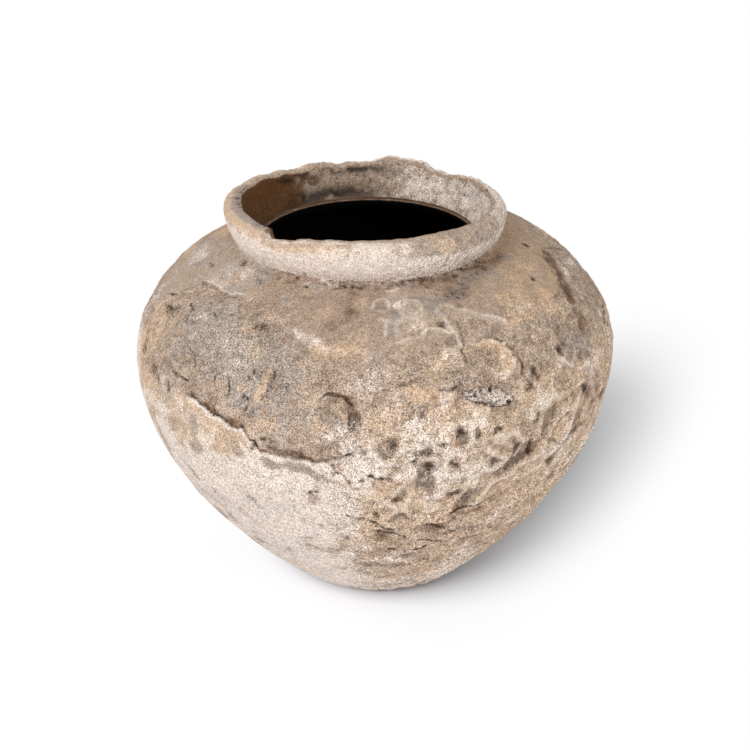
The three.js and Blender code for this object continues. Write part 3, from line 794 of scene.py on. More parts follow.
        self.add(tan=0.5 * honey + 0.85 * orange, rust=0.34 * orange * ease(self.blotch, -0.6, 0.3))
        self.fade(0.4 * orange, "lime", "grey")
        shaded = chart.blots(0.8, (
            (-79.5, 191, 8, 5), (-60.5, 159.5, 8, 6), (-72.9, 154, 4, 6), (-78.5, 160, 7, 6),
            (-87.3, 156, 4, 1.6), (-45.9, 132, 5, 8, 0, 0.9), (-41.6, 116, 5, 6, 0, 0.9),
            (-41, 178, 5, 8, 0, 0.9), (-34, 173.7, 5, 5, 0, 0.9), (-23.6, 155, 6, 5, 0, 0.9),
        ))
        self.add(grey=0.45 * shaded, brown=0.28 * shaded)
        self.fade(0.4 * shaded, "lime")
        grooves = chart.strokes((
            (
                0.8, (-85.2, 202.7), (-83.7, 203.3), (-81, 204.6), (-78.3, 203), (-75.3, 199.5),
                (-72.4, 199.2), (-70, 200.4),
            ),
            (0.8, (-84.6, 198), (-82.5, 192), (-82, 186)),
            (1.4, (-58.8, 219.5), (-56.2, 216.8), (-54.2, 211.6), (-53.2, 204.9), (-54, 198)),
            (
                0.8, (-65.4, 227), (-66.1, 221), (-66.6, 217.5), (-67.8, 215.2), (-67, 211.4),
                (-67.6, 208.7),
            ),
            (1.7, (-52.3, 178.7), (-52, 172.8), (-52.8, 166), (-53.4, 156), (-53.6, 146)),
            (1.6, (-48.8, 153.3), (-45.7, 147.7), (-41.6, 142.7)),
            (2.2, (-39, 146.6), (-36, 147.8), (-32, 145.6)),
            (1.6, (-38, 116.4), (-33, 112.5), (-29, 108.7)), (1.0, (-46, 162), (-40, 166), (-34, 172)),
        ))
        grooves = grooves * at_least(0.2, self.mid + 0.6 * self.fine, -0.5, 0.3)
        self.add(up=-0.9 * grooves, dark=0.5 * grooves, brown=0.35 * grooves)
        holes = chart.pits((
            (-63.3, 171.6, 2.8, 1.7), (-62.4, 172.2, 1.6, 1.6), (-68, 173.7, 1.7, 2.3),
            (-71.8, 175.4, 1.8, 2.2), (-75.8, 169.5, 2.6, 1.1), (-72.6, 130.6, 2.6, 1.4),
            (-71.3, 131.8, 2, 1.3), (-74, 131.1, 1.7, 1.1), (-87.8, 133.7, 1.2, 1.1),
            (-85.9, 131.3, 2.4, 1.3), (-90.2, 121.4, 1.2, 1.1), (-89.4, 148.6, 2.8, 1.3),
            (-63.3, 148.6, 2.3, 2.1), (-80.1, 165.8, 2.7, 2.1), (-78, 155.4, 2.6, 2.1),
            (-81.7, 160.2, 2.6, 1.4), (-73, 154.5, 2.2, 2.4), (-53, 190, 2.6, 2.4),
            (-50.5, 194, 2.6, 1.8), (-50.6, 197.6, 1.7, 1.5), (-69.7, 227.4, 1.8, 1.4),
            (-9.3, 237.7, 1.4, 1.3), (-29.4, 231.3, 1.1, 1.0), (-40, 202, 2.4, 2.2),
        ))
        self.add(up=-1.1 * holes, dark=0.56 * holes, brown=0.3 * holes, grey=0.3 * holes)
        self.still += 0.4 * (honey + orange)

    def right_flank(self):
        """Smooth tan skin on the right, the brown strip along its broken edge, which is brown stain and
        painted shade, and the dark line at the limb, which is painted shade."""
        chart = self.chart
        # Brown strip beside the skin's broken edge: brown stain and painted shade.
        strip = chart.stroke(4.8, (-5, 229.8), (-13, 227), (-19.5, 221), (-22.4, 216))
        band = chart.stroke(3.6, (-9.3, 224.9), (-14.2, 219.2), (-16.6, 212.5))
        # Dark lines along the limb: painted shade, with a groove.
        seam = chart.strokes((
            (1.2, (-4, 233), (2.6, 228), (8.3, 219), (6.2, 212.8), (6.3, 199)),
            (1.3, (-3.4, 193.7), (-7.5, 192.1), (-14.4, 191), (-14.7, 186.1), (-16.6, 180.4)),
        ))
        seam = seam * at_least(0.3, self.crumb + self.mid, -0.5, 0.35)
        bare = chart.blot(-32.5, 201, 24, 15, 0, 0.5)
        cream = chart.stroke(
            1.4, (-42.7, 198.4), (-40.6, 196.3), (-39, 191.8), (-35.7, 187.2), (-32, 185.3),
        )
        self.fade(0.6 * bare, "lime", "tan")
        self.add(
            brown=0.3 * bare, grey=0.35 * bare, up=0.5 * cream - 0.5 * bare, thread=0.35 * cream,
            lime=0.25 * cream,
        )
        marks = chart.blots(0.5, ((-5.7, 193, 3, 3), (-10.2, 188.4, 3, 3), (-17.7, 189.7, 3, 3.6)))
        skin = self.on_skin * sector(self.angle, -44, 20, 14)
        olive = (
            sector(self.angle, -58, 24, 24) * (1 - self.on_skin) * at_least(0.6, self.swell, -0.4, 0.4)
        )
        self.fade(0.4 * skin, "lime")
        self.add(
            up=-0.5 * strip - 0.8 * seam - 0.6 * marks, brown=0.55 * strip + 0.25 * skin + 0.06 * olive,
        )
        self.add(
            tan=0.45 * skin + 0.22 * olive, lime=0.28 * band,
            dark=0.8 * seam + 0.6 * marks * ease(self.crumb, -0.5, 0.3),
        )
        self.still += strip + 0.6 * skin

    def under_collar(self):
        """Crumbs packed under the collar."""
        down = self.wall.neck - self.along
        under = bell(down, 7.5) * (0.3 + 0.7 * sector(self.angle, -130, -34, 20))
        near, number = grains(self.spot, 3.6, 61)
        lumps = 0.35 * np.clip(1 - (near / 1.9) ** 2, 0, 1) + 0.5 * self.crumb + 0.4 * self.fine
        self.add(up=under * lumps + 2.0 * np.exp(-down / 3.6))
        self.add(dark=0.4 * under * ease(near + self.fine, 1.2, 2.4))
        self.add(dark=0.35 * under * ease(-self.crumb - self.fine, 0.1, 0.6), brown=0.3 * under)
        self.add(lime=0.4 * under * (number > 0.72) * ease(self.fine, -0.4, 0.2))
        chart = self.chart
        line = chart.stroke(1.6, (-104, 241), (-97.4, 241.3), (-91, 241))
        self.add(dark=0.4 * line + 0.8 * chart.blot(-113.8, 240.4, 2.2, 1.6))
        self.add(rust=0.28 * chart.blot(-114, 241.8, 9, 2.2) + 0.25 * chart.blot(-96, 241.8, 5, 2.2))

    def stains(self):
        """Every stain, with the share of loose grain added."""
        grain = np.clip(self.rough + 0.1 * self.on_coat + 0.15 * self.on_skin, 0, 1)
        even = sector(self.angle, -112, -48, 12) * ease(self.height, 208, 222)
        grain = grain * (1 - 0.55 * np.clip(self.still, 0, 1)) * (1 - 0.3 * even)
        grain = grain * (1 - 0.8 * np.clip(self.layers["thread"], 0, 1))
        marks = {name: value for name, value in self.layers.items() if name != "up"}
        return {**marks, "grain": grain}


def relief(wall, angle, along, grit):
    """Height off the bare wall and the stains at each place of the wall: broad swells, crust, ledges,
    pits and marks placed one by one, all added up; the stains follow the same marks."""
    crust = Crust(wall, angle, along, grit)
    crust.ground()
    crust.coat_rim()
    crust.coat_tones()
    crust.laminations()
    crust.left_shoulder()
    crust.crust_marks()
    crust.dent()
    crust.flow()
    crust.right_front()
    crust.right_flank()
    crust.under_collar()
    return crust.layers["up"], crust.stains()


# Meshes

def mesh_object(name, points, faces, stains, smooth=True):
    """Object from points in millimetres and faces, with one attribute for each stain."""
    mesh = bpy.data.meshes.new(name)
    mesh.vertices.add(len(points))
    mesh.vertices.foreach_set("co", (points * MILLIMETRE).astype(np.float32).ravel())
    mesh.loops.add(faces.size)
    mesh.loops.foreach_set("vertex_index", faces.astype(np.int32).ravel())
    mesh.polygons.add(len(faces))
    mesh.polygons.foreach_set("loop_start", np.arange(0, faces.size, faces.shape[1], dtype=np.int32))
    mesh.polygons.foreach_set("use_smooth", np.broadcast_to(smooth, len(faces)).copy())
    for stain, value in stains.items():
        layer = mesh.attributes.new(stain, "FLOAT", "POINT")
        layer.data.foreach_set("value", np.clip(value, 0, 1).astype(np.float32).ravel())
    mesh.update(calc_edges=True)
    mesh.validate()
    piece = bpy.data.objects.new(name, mesh)
    bpy.context.scene.collection.objects.link(piece)
    return piece


def wrapped_faces(first, second):
    """Quads of a grid that wraps in both directions."""
    here = np.arange(first)[:, None] * second
    there = (np.arange(first)[:, None] + 1) % first * second
    low = np.arange(second)[None, :]
    high = (low + 1) % second
    return np.stack([here + low, there + low, there + high, here + high], axis=-1).reshape(-1, 4)


def capped_object(name, grid, poles, stains):
    """Object from a grid that wraps in its first direction, closed by a fan of triangles round each
    pole."""
    sides, rings = grid.shape[:2]
    last = rings - 1
    quads = wrapped_faces(sides, rings)
    quads = quads[(quads[:, 0] % rings) != last]
    here = np.arange(sides) * rings
    there = (np.arange(sides) + 1) % sides * rings
    low_fan = np.stack([np.full(sides, sides * rings), there, here], axis=-1)
    high_fan = np.stack([np.full(sides, sides * rings + 1), here + last, there + last], axis=-1)
    split = np.concatenate([quads[:, [0, 1, 2]], quads[:, [0, 2, 3]], low_fan, high_fan])
    return mesh_object(name, np.concatenate([grid.reshape(-1, 3), poles]), split, stains)


def carried_round(name, grid, stains, shown):
    """Closed section carried once round the axis; the grid runs round first, then along the section. The
    listed stretches of the section are shaded smooth, and the faces that close it are flat."""
    faces = wrapped_faces(grid.shape[0], grid.shape[1])
    place = faces[:, 0] % grid.shape[1]
    smooth = np.any([(place >= start) & (place < end - 1) for start, end in shown], axis=0)
    return mesh_object(name, grid.reshape(-1, 3), faces, stains, smooth)


def hollows(up, reach=3.2, depth=0.75):
    """How far a place lies under or over its surroundings: the blurred height less the height."""
    lower = (softened(up, reach) - up) / depth
    return np.clip(lower, 0, 1), np.clip(-lower, 0, 1)


def finish_piece(piece, material, slot, *nodes):
    """Gives a piece its material, hangs it under the root body and hides the solids that it stands for."""
    piece.data.materials.append(material)
    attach(piece, "root")
    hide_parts(*nodes)


def with_inside(stains, count, soot):
    """Stains of an outer face followed by those of the hidden inner face, which only gets the soot and dark
    stains: soot and painted shade that keep the inside of the jar black.
    """
    whole = {}
    for name, value in stains.items():
        fill = soot if name in ("dark", "soot") else 0.0
        whole[name] = np.concatenate([value, np.full((len(value), count), fill)], axis=1)
    return whole


def dressed(wall, angle, along, grit):
    """Relief and stains of a stretch of wall, with the hollows and edges of that relief among the
    stains."""
    up, stains = relief(wall, angle, along, grit)
    stains["hollow"], stains["edge"] = hollows(up)
    return up, stains


def wall_faces(shape, wall, along, back, depth):
    """Outer face of a stretch of wall with its relief, its even inner face, and the outer face's
    stains."""
    angle = front_dense(ROUND)[:, None] + np.zeros_like(along)
    along = along + np.zeros_like(angle)
    up, stains = dressed(wall, angle, along, shape.grit)
    turn = angle[:, :1] + np.zeros_like(back)
    inner = wall.at(turn, back + np.zeros_like(turn), depth + np.zeros_like(turn))
    return wall.at(angle, along, up), inner, stains


def layer_lift(crisp, step, gap, rounding, full, sunk):
    """How far a layer stands off the wall at a gap from its edge: a rounded step where the edge is
    broken, and a slow rise from under the wall where it is feathered."""
    rounded = np.sqrt(np.clip(1 - (1 - np.clip(gap / rounding, 0, 1)) ** 2, 0, 1))
    feathered = step * ease(gap, 2, full) - 0.7 * (1 - ease(gap, 0, sunk))
    return crisp * step * (0.35 + 0.65 * rounded) + (1 - crisp) * feathered


def layer_object(name, wall, turns, low, high, outer, stains):
    """Closed ring of a layer: its outer face, and a hidden face just inside the wall between its two
    edges."""
    back = low + (high - low) * np.linspace(1, 0, 8)
    inner = wall.at(turns + np.zeros_like(back), back, np.full_like(back, -UNDER_WALL))
    grid = np.concatenate([outer, inner], axis=1)
    return carried_round(name, grid, with_inside(stains, back.shape[1], 0.6), [(0, outer.shape[1])])


# Shader

class Wire:
    """A shader socket; arithmetic on it adds Math nodes, and node() adds any other node to its tree."""

    def __init__(self, tree, socket=None):
        self.tree = tree
        self.socket = socket

    def node(self, kind, settings=None, inputs=None, output=0):
        """New node: its settings first, then the values or links of its sockets."""
        made = self.tree.nodes.new(kind)
        for name, value in (settings or {}).items():
            setattr(made, name, value)
        for name, value in (inputs or {}).items():
            if isinstance(value, Wire):
                self.tree.links.new(value.socket, made.inputs[name])
            else:
                made.inputs[name].default_value = value
        return Wire(self.tree, made.outputs[output] if made.outputs else None)

    def math(self, operation, first, second):
        return self.node("ShaderNodeMath", {"operation": operation}, {0: first, 1: second})

    def __add__(self, other):
        return self.math("ADD", self, other)

    def __radd__(self, other):
        return self.math("ADD", other, self)

    def __sub__(self, other):
        return self.math("SUBTRACT", self, other)

    def __rsub__(self, other):
        return self.math("SUBTRACT", other, self)

    def __mul__(self, other):
        return self.math("MULTIPLY", self, other)

    def __rmul__(self, other):
        return self.math("MULTIPLY", other, self)

    def step(self, low, high):
        """Smooth step between two values."""
        settings = {"interpolation_type": "SMOOTHSTEP"}
        return self.node(
            "ShaderNodeMapRange", settings, {"Value": self, "From Min": low, "From Max": high},
        )

    def mixed(self, other, amount):
        """This colour turned towards another by an amount."""
        settings = {"data_type": "RGBA", "clamp_factor": True}
        return self.node("ShaderNodeMix", settings, {0: amount, 6: self, 7: opaque(other)}, 2)

    def scaled(self, amount):
        """This colour made lighter or darker."""
        return self.node("ShaderNodeVectorMath", {"operation": "SCALE"}, {0: self, "Scale": amount})

    def noise(self, scale, detail=2.0, roughness=0.55):
        """Fractal noise on Object coordinates."""
        inputs = {"Vector": self, "Scale": scale, "Detail": detail, "Roughness": roughness}
        return self.node("ShaderNodeTexNoise", {}, inputs)

    def stain(self, name):
        """The mesh attribute of that name."""
        return self.node("ShaderNodeAttribute", {"attribute_name": name}, {}, 2)


def new_material(name):
    """Empty material and a first wire in it, on Object coordinates."""
    material = bpy.data.materials.new(name)
    material.use_nodes = True
    material.node_tree.nodes.clear()
    return material, Wire(material.node_tree).node("ShaderNodeTexCoord", {}, {}, "Object")


def opaque(colour_value):
    """Colour with full opacity."""
    return (*colour_value, 1.0)


def crusted(name, finish, speckle=1.0):
    """Weathered surface: clay tones from noise, stains from the mesh, darker in the hollows of the relief and
    paler on its raised edges, salt and pepper grain whose speckle is also painted micro-shade and
    micro-highlight, and a bump of the same grain."""
    material, place = new_material(name)
    broad = place.noise(38, 3)
    patch = place.noise(130, 4, 0.6)
    coarse = place.noise(400, 3, 0.6)
    fine = place.noise(1150, 2, 0.6)
    dust = place.noise(2300, 1, 0.5)
    grain = place.stain("grain")

    def loosened(stain):
        """Stain whose edge is broken up by noise."""
        raw = place.stain(stain)
        broken = (raw + (patch - 0.5) * 0.9 + (fine - 0.5) * 0.5).step(0.36, 0.62)
        return (0.4 * raw + 0.6 * broken) * raw.step(0.0, 0.25)

    clay = place.node("ShaderNodeRGB", {}, {})
    clay.socket.default_value = opaque(finish.clay)
    body = clay.scaled(0.86 + 0.28 * broad)
    body = body.mixed(finish.brown, coarse.step(0.52, 0.72) * 0.22)
    for stain, strength in (("grey", 0.75), ("tan", 0.8), ("brown", 0.96), ("lime", 0.9), ("rust", 0.8)):
        body = body.mixed(getattr(finish, stain), loosened(stain) * strength)
    # Paler on the raised edges of the relief.
    body = body.mixed(finish.lime, place.stain("edge") * (0.25 + 0.5 * fine) * 0.55)
    brown = place.stain("brown")
    sand = place.noise(480, 2).step(0.52, 0.68) * (0.08 + 0.3 * grain) * (1.0 - 0.85 * brown)
    body = body.mixed(finish.tan, sand * speckle)
    brick = place.noise(560, 1).step(0.6, 0.72) * (0.04 + 0.22 * grain)
    body = body.mixed(finish.rust, brick * speckle)
    # Pale lines: real threads, loops and roots, and the painted highlight along the coat's edge.
    body = body.mixed(finish.lime, place.stain("thread") * (0.6 + 0.8 * fine) * 0.85)
    # The brightness speckle and the dark pepper stand for real specks of the grain, and also for painted
    # micro-shade and micro-highlight of the crust's small relief.
    body = body.scaled(1.0 + (coarse - 0.5) * (0.35 + 0.7 * grain) * speckle)
    body = body.scaled(1.0 + ((fine - 0.5) * 3.0 + (dust - 0.5) * 1.8) * (0.34 + 0.62 * grain) * speckle)
    pepper_and_micro_shade = place.noise(900, 1).step(0.57, 0.66) * (0.16 + 0.6 * grain) * speckle
    body = body.mixed(finish.crevice, pepper_and_micro_shade * 0.72)
    line = place.math("ABSOLUTE", place.noise(105, 3, 0.6) - 0.5, 0.0)
    vein = (1.0 - line.step(0.006, 0.04)) * broad.step(0.5, 0.58) * (0.1 + 0.6 * grain) * speckle
    body = body.mixed(finish.crevice, vein * 0.55)
    salt = place.noise(1020, 1).step(0.57, 0.67) * (0.14 + 0.5 * grain) * (1.0 - 0.8 * brown) * speckle
    body = body.mixed(finish.lime, salt * 0.75)
    # Darker in the hollows of the relief.
    hollow_darkening = place.stain("hollow") * (0.55 + 0.6 * coarse)
    body = body.mixed(finish.crevice, hollow_darkening * 0.62)
    # The dark stain: real dark pits and cracks, and painted shade at the coat's edge, the dent, the limb and
    # the lip's crown.
    raw_dark = place.stain("dark")
    broken_dark = (raw_dark + (place.noise(500, 3, 0.7) - 0.5) * 4.5).step(0.45, 0.85)
    black = (0.3 * raw_dark + 0.7 * broken_dark) * raw_dark.step(0.04, 0.4)
    body = body.mixed(finish.crevice, black * 0.95)
    # Soot colour: real soot inside the neck, and painted shade on the inner faces of the body.
    body = body.mixed(finish.soot, place.stain("soot"))

    rise = patch * 0.5 + coarse * 0.5 + fine * 0.5 * (0.4 + grain) + dust * 0.2
    bump = place.node("ShaderNodeBump", {}, {"Strength": 0.55, "Distance": 0.0012, "Height": rise})
    shade = {
        "Base Color": body, "Roughness": 0.8 + 0.18 * fine, "Normal": bump, "Specular IOR Level": 0.12,
    }
    surface = place.node("ShaderNodeBsdfPrincipled", {}, shade)
    place.node("ShaderNodeOutputMaterial", {}, {"Surface": surface})
    return material


def shared(name, build, *values):
    """Material of that name, built once."""
    return bpy.data.materials.get(name) or build(name, *values)


# Operators

class JarStep:
    """What every step of the jar shares."""

    bl_options = {"REGISTER", "UNDO"}

    def execute(self, context):
        shape = context.scene.jar_shape
        self.build(shape, context.scene.jar_finish, Wall(shape))
        return {"FINISHED"}


class JAR_OT_base(JarStep, bpy.types.Operator):
    """Base disc with a flat underside and a dished floor"""

    bl_idname = "jar.base"
    bl_label = "Base disc"

    def build(self, shape, finish, wall):
        """Section from the axis along the underside, up the foot and back over the floor, turned round
        the axis."""
        turns = front_dense(240)[:, None]
        edge = np.linspace(0, BASE_SEAM, 10)
        angle = turns + np.zeros_like(edge)
        along = edge + np.zeros_like(angle)
        up, stains = relief(wall, angle, along, shape.grit)
        rim = wall.at(angle, along, np.clip(up - 0.9, 0.05, 2) * ease(edge, 0, 5))
        under = np.linspace(4, shape.foot_radius / MILLIMETRE - 1.0, 14)
        inside = np.linspace(62, 4, 12)
        flat = on_rings(turns, under, 0.0)
        floor = on_rings(turns, inside, FLOOR_HEIGHT + 5 * ease(inside, 20, 64))
        below = {"rust": 0.85, "lime": 0.2, "grain": 0.5}
        marks = {}
        for name, value in with_inside(stains, len(inside), 1.0).items():
            underside = np.full((len(turns), len(under)), below.get(name, 0.0))
            marks[name] = np.concatenate([np.concatenate([underside, value], axis=1).ravel(), [0, 0]])
        grid = np.concatenate([flat, rim, floor], axis=1)
        piece = capped_object("jar_base", grid, [[0, 0, 0], [0, 0, FLOOR_HEIGHT]], marks)
        finish_piece(piece, shared("crusted_clay", crusted, finish), "clay", "base_disc")


class JAR_OT_bowl(JarStep, bpy.types.Operator):
    """Lower bowl of the body, from the base to the belly"""

    bl_idname = "jar.bowl"
    bl_label = "Lower bowl"

    def build(self, shape, finish, wall):
        """Stations are sparse under the coat and close below the belly, where the wall is bare; both ends
        are rebated for the slip."""
        start, end = BASE_SEAM, wall.belly - BELLY_SEAM_BELOW
        bare = end - 62
        along = np.concatenate([np.linspace(start, bare, 16, endpoint=False), np.linspace(bare, end, 62)])
        inside = np.linspace(end - REBATE, start + REBATE, 12)
        back = np.concatenate([[end, end - REBATE], inside, [start + REBATE, start]])
        depth = np.full(len(back), -shape.wall_thickness / MILLIMETRE)
        depth[[0, 1, -2, -1]] = -REBATE_SINK
        outer, inner, stains = wall_faces(shape, wall, along, back, depth)
        grid = np.concatenate([outer, inner], axis=1)
        piece = carried_round("jar_bowl", grid, with_inside(stains, len(back), 1.0), [(0, len(along))])
        finish_piece(piece, shared("crusted_clay", crusted, finish), "clay", "lower_bowl")


class JAR_OT_shoulder(JarStep, bpy.types.Operator):
    """Domed shoulder, which ends in a ledge round the throat"""

    bl_idname = "jar.shoulder"
    bl_label = "Shoulder dome"

    def build(self, shape, finish, wall):
        """Relief over the dome, then the ledge and throat as plain rings, then the even inner face."""
        start, end = wall.belly - BELLY_SEAM_BELOW, wall.neck
        along = np.linspace(start, end, 96)
        back = np.concatenate([np.linspace(end - 4, start + REBATE, 7), [start + REBATE, start]])
        depth = np.full(len(back), -shape.wall_thickness / MILLIMETRE)
        depth[-2:] = -REBATE_SINK
        outer, inner, stains = wall_faces(shape, wall, along, back, depth)
        radius = shape.throat_radius / MILLIMETRE + np.array([3, 0.7, 0.1, 0.8, 5])
        height = shape.neck_height / MILLIMETRE - np.array([2.0, 2.2, 2.8, 3.8, 9])
        throat = on_rings(front_dense(ROUND)[:, None], radius, height, wall.shift)
        stains = with_inside(stains, len(radius) + len(back), 1.0)
        dome = len(along)
        for name, amount in (("dark", 0.2), ("soot", 0), ("brown", 0.6)):
            stains[name][:, dome:dome + 2] = amount
        grid = np.concatenate([outer, throat, inner], axis=1)
        piece = carried_round("jar_shoulder", grid, stains, [(0, dome), (dome, dome + len(radius))])
        finish_piece(piece, shared("crusted_clay", crusted, finish), "clay", "shoulder_dome")


class JAR_OT_coat(JarStep, bpy.types.Operator):
    """Pale lime coat of the lower body, with its broken upper edge"""

    bl_idname = "jar.coat"
    bl_label = "Lime coat"

    def build(self, shape, finish, wall):
        """Relief plus the coat's lift, which dies out at the foot."""
        turns = front_dense(ROUND)[:, None]
        top = coat_top(wall, turns)
        part = 1 - (1 - np.linspace(0, 1, 98)) ** 1.35
        along = FOOT_START + (top - FOOT_START) * part
        angle = turns + np.zeros_like(along)
        up, stains = dressed(wall, angle, along - 0.4 * ease(along - top, -1, 0), shape.grit)
        lift = layer_lift(coat_crisp(angle), shape.coat_step / MILLIMETRE, top - along, 1.6, 34, 10)
        lift = lift * ease(along, FOOT_START, FOOT_START + 8)
        outer = wall.at(angle, along, up + lift)
        piece = layer_object("jar_coat", wall, turns, FOOT_START, top, outer, stains)
        finish_piece(piece, shared("crusted_coat", crusted, finish, 1.45), "lime_coat", "lower_coat")


class JAR_OT_skin(JarStep, bpy.types.Operator):
    """Smooth skin left round the neck"""

    bl_idname = "jar.skin"
    bl_label = "Shoulder skin"

    def build(self, shape, finish, wall):
        """Relief plus the skin's lift, which dies out and sinks under the wall at the neck."""
        turns = front_dense(ROUND)[:, None]
        foot = skin_foot(wall, turns)
        top = wall.neck - 5.0
        part = np.linspace(0, 1, 58) ** 1.2
        along = foot + (top - foot) * part
        angle = turns + np.zeros_like(along)
        up, stains = dressed(wall, angle, along + 0.4 * (1 - part) ** 40, shape.grit)
        lift = layer_lift(skin_crisp(angle), shape.skin_step / MILLIMETRE, along - foot, 1.4, 20, 8)
        lift = lift * (1 - ease(along, top - 9, top)) - 0.8 * ease(along, top - 3, top)
        outer = wall.at(angle, along, up + lift)
        piece = layer_object("jar_skin", wall, turns, foot, top, outer, stains)
        finish_piece(piece, shared("worn_skin", crusted, finish), "tan_skin", "shoulder_skin")


def lens_patch(name, wall, grit, place, wave, phase, sides, rings, dress):
    """Patch on the wall: a lens of rings about a middle point, with a wavy outline; its upper face is the
    relief plus a rounded step, its lower face lies just inside the wall."""
    turn = np.linspace(0, 2 * np.pi, sides, endpoint=False)[:, None]
    lower = np.linspace(0, 1, 5)[1:]
    reach = np.concatenate([lower, 1 - np.linspace(0, 1, rings)[1:-1] ** 1.3])[None, :]
    upper = np.arange(reach.shape[1]) >= len(lower)
    wavy = np.cos(2 * turn + phase) + 0.7 * np.sin(3 * turn - phase) + 0.6 * np.cos(7 * turn + 2 * phase)
    wavy = (
        1 + wave * wavy + 0.5 * wave * np.cos(13 * turn - phase) + 0.4 * wave * np.sin(21 * turn + phase)
    )
    across, up = reach * wavy * np.cos(turn), reach * wavy * np.sin(turn)
    angle, along = place(across, up)
    height, stains = relief(wall, angle, along, grit)
    spot = wall.at(angle, along, np.zeros_like(along))
    face, marks = dress(spot, reach + 0 * across, turn + 0 * across, height, stains)
    grid = wall.at(angle, along, np.where(upper[None, :], face, -UNDER_WALL))
    middle = [value.repeat(2) for value in place(np.zeros(1), np.zeros(1))]
    poles = wall.at(*middle, np.array([-UNDER_WALL, float(np.mean(face[:, -1]))]))
    for mark, value in marks.items():
        spread = np.broadcast_to(value, across.shape).ravel()
        marks[mark] = np.concatenate([spread, np.full(2, float(np.mean(value)))])
    return capped_object(name, grid, poles, marks)


class JAR_OT_crust(JarStep, bpy.types.Operator):
    """Grey crust on the left of the bare band"""

    bl_idname = "jar.crust"
    bl_label = "Grey crust"

    def build(self, shape, finish, wall):
        """Fills the band between the coat's edge and the skin's edge, and sinks into the wall at its
        outline."""

        def place(across, up):
            angle = np.radians(-127 + 24 * across)
            low = coat_top(wall, angle) + 4
            high = skin_foot(wall, angle) - 4
            return angle, low + (high - low) * (0.5 + 0.42 * up)

        def dress(spot, reach, turn, height, stains):
            crumble = cloud(spot, 4.6, 71)
            chips = cloud(spot, 8.5, 72)
            rise = 0.9 * ease(reach + 0.25 * chips, 1.0, 0.55) - 0.6 * ease(reach, 0.85, 1.0)
            stains["grey"] += 0.3 * ease(reach + 0.3 * chips, 1.0, 0.5)
            stains["hollow"] = np.clip(-crumble * 0.9 - 0.2, 0, 1)
            stains["edge"] = np.clip(crumble * 0.9 - 0.2, 0, 1)
            return height + rise + 0.3 * crumble * (reach < 0.95), stains

        piece = lens_patch("jar_crust", wall, shape.grit, place, 0.07, 0.6, 420, 96, dress)
        finish_piece(piece, shared("crumbled_crust", crusted, finish), "grey_crust", "left_crust")


class JAR_OT_patches(JarStep, bpy.types.Operator):
    """Tan plate and white lump on the front right of the wall"""

    bl_idname = "jar.patches"
    bl_label = "Tan plate and white lump"

    def build(self, shape, finish, wall):
        """Both lie on the wall at a direction and a distance below the neck."""

        def placing(degrees, down, wide, tall, tilt):
            middle = wall.neck - down
            radius = np.interp(middle, wall.along, wall.radius)
            turn = np.radians(degrees)
            return lambda across, up: (turn + across * wide / radius, middle + up * tall - across * tilt)

        def plate(spot, reach, turn, height, stains):
            across, up = reach * np.cos(turn), reach * np.sin(turn)
            rough = cloud(spot, 5, 83) + 0.6 * cloud(spot, 2.6, 84)
            crescent = ease(np.hypot(across + 0.5, up + 0.16) + 0.12 * rough, 0.74, 1.08)
            crescent = crescent * ease(across + 0.55 * up, -0.45, 0.0)
            rise = 1.7 * ease(reach, 1.0, 0.86) * crescent - 0.6 * ease(reach, 0.93, 1.0)
            for stain in ("lime", "dark", "brown", "grey", "rust"):
                stains[stain] *= 1 - crescent
            stains["tan"] += 1.1 * crescent
            stains["lime"] += crescent * (0.22 + 0.32 * ease(rough, -0.1, 0.6))
            stains["rust"] += 0.12 * crescent
            stains["grain"] *= 1 - 0.6 * crescent
            stains["brown"] += 0.1 * (1 - crescent)
            stains["grey"] += 0.15 * (1 - crescent)
            stains["tan"] += 0.3 * (1 - crescent)
            stains["hollow"] = np.clip(-0.5 * rough - 0.1, 0, 1) * (1 - 0.8 * crescent)
            stains["edge"] = bell(reach - 0.9, 0.06) * crescent
            return height + rise + 0.12 * rough, stains

        def lump(spot, reach, turn, height, stains):
            knob, number = grains(spot, 5.5, 81)
            rough = cloud(spot, 4, 85) + 0.7 * cloud(spot, 2.2, 86)
            hole = (number < 0.6) * ease(knob + 0.6 * rough, 2.0, 0.9)
            whole = ease(reach + 0.2 * rough, 1.05, 0.75)
            low = ease(-reach * np.sin(turn) + 0.3 * rough, 0.45, 0.8)
            rise = (
                2.6 * whole * (0.6 + 0.4 * np.clip(1 - (knob / 4) ** 2, 0, 1)) + 0.4 * rough - 2.0 * hole
            )
            stains["lime"] += 0.42 * whole
            stains["grey"] += 0.45
            stains["grain"] = np.maximum(stains["grain"], 1.0)
            stains["dark"] += hole + 0.34 + 0.2 * ease(reach, 0.8, 1.0) + 0.4 * low
            stains["hollow"] = np.clip(ease(knob, 2.6, 4.2) * 0.5 - 0.5 * rough, 0, 1)
            stains["edge"] = 0.5 * np.clip(1 - knob / 2.5, 0, 1)
            return height + rise - 0.6 * ease(reach, 0.93, 1.0), stains

        tan = lens_patch(
            "jar_plate", wall, shape.grit, placing(-61, 66, 17, 13, 0), 0.07, 1.4, 240, 52, plate,
        )
        finish_piece(tan, shared("worn_skin", crusted, finish), "tan_skin", "tan_plate")
        white = lens_patch(
            "jar_lump", wall, shape.grit, placing(-64, 87, 18, 5.8, 5), 0.09, 2.6, 240, 44, lump,
        )
        finish_piece(white, shared("pitted_lime", crusted, finish), "white_lime", "lime_lump")


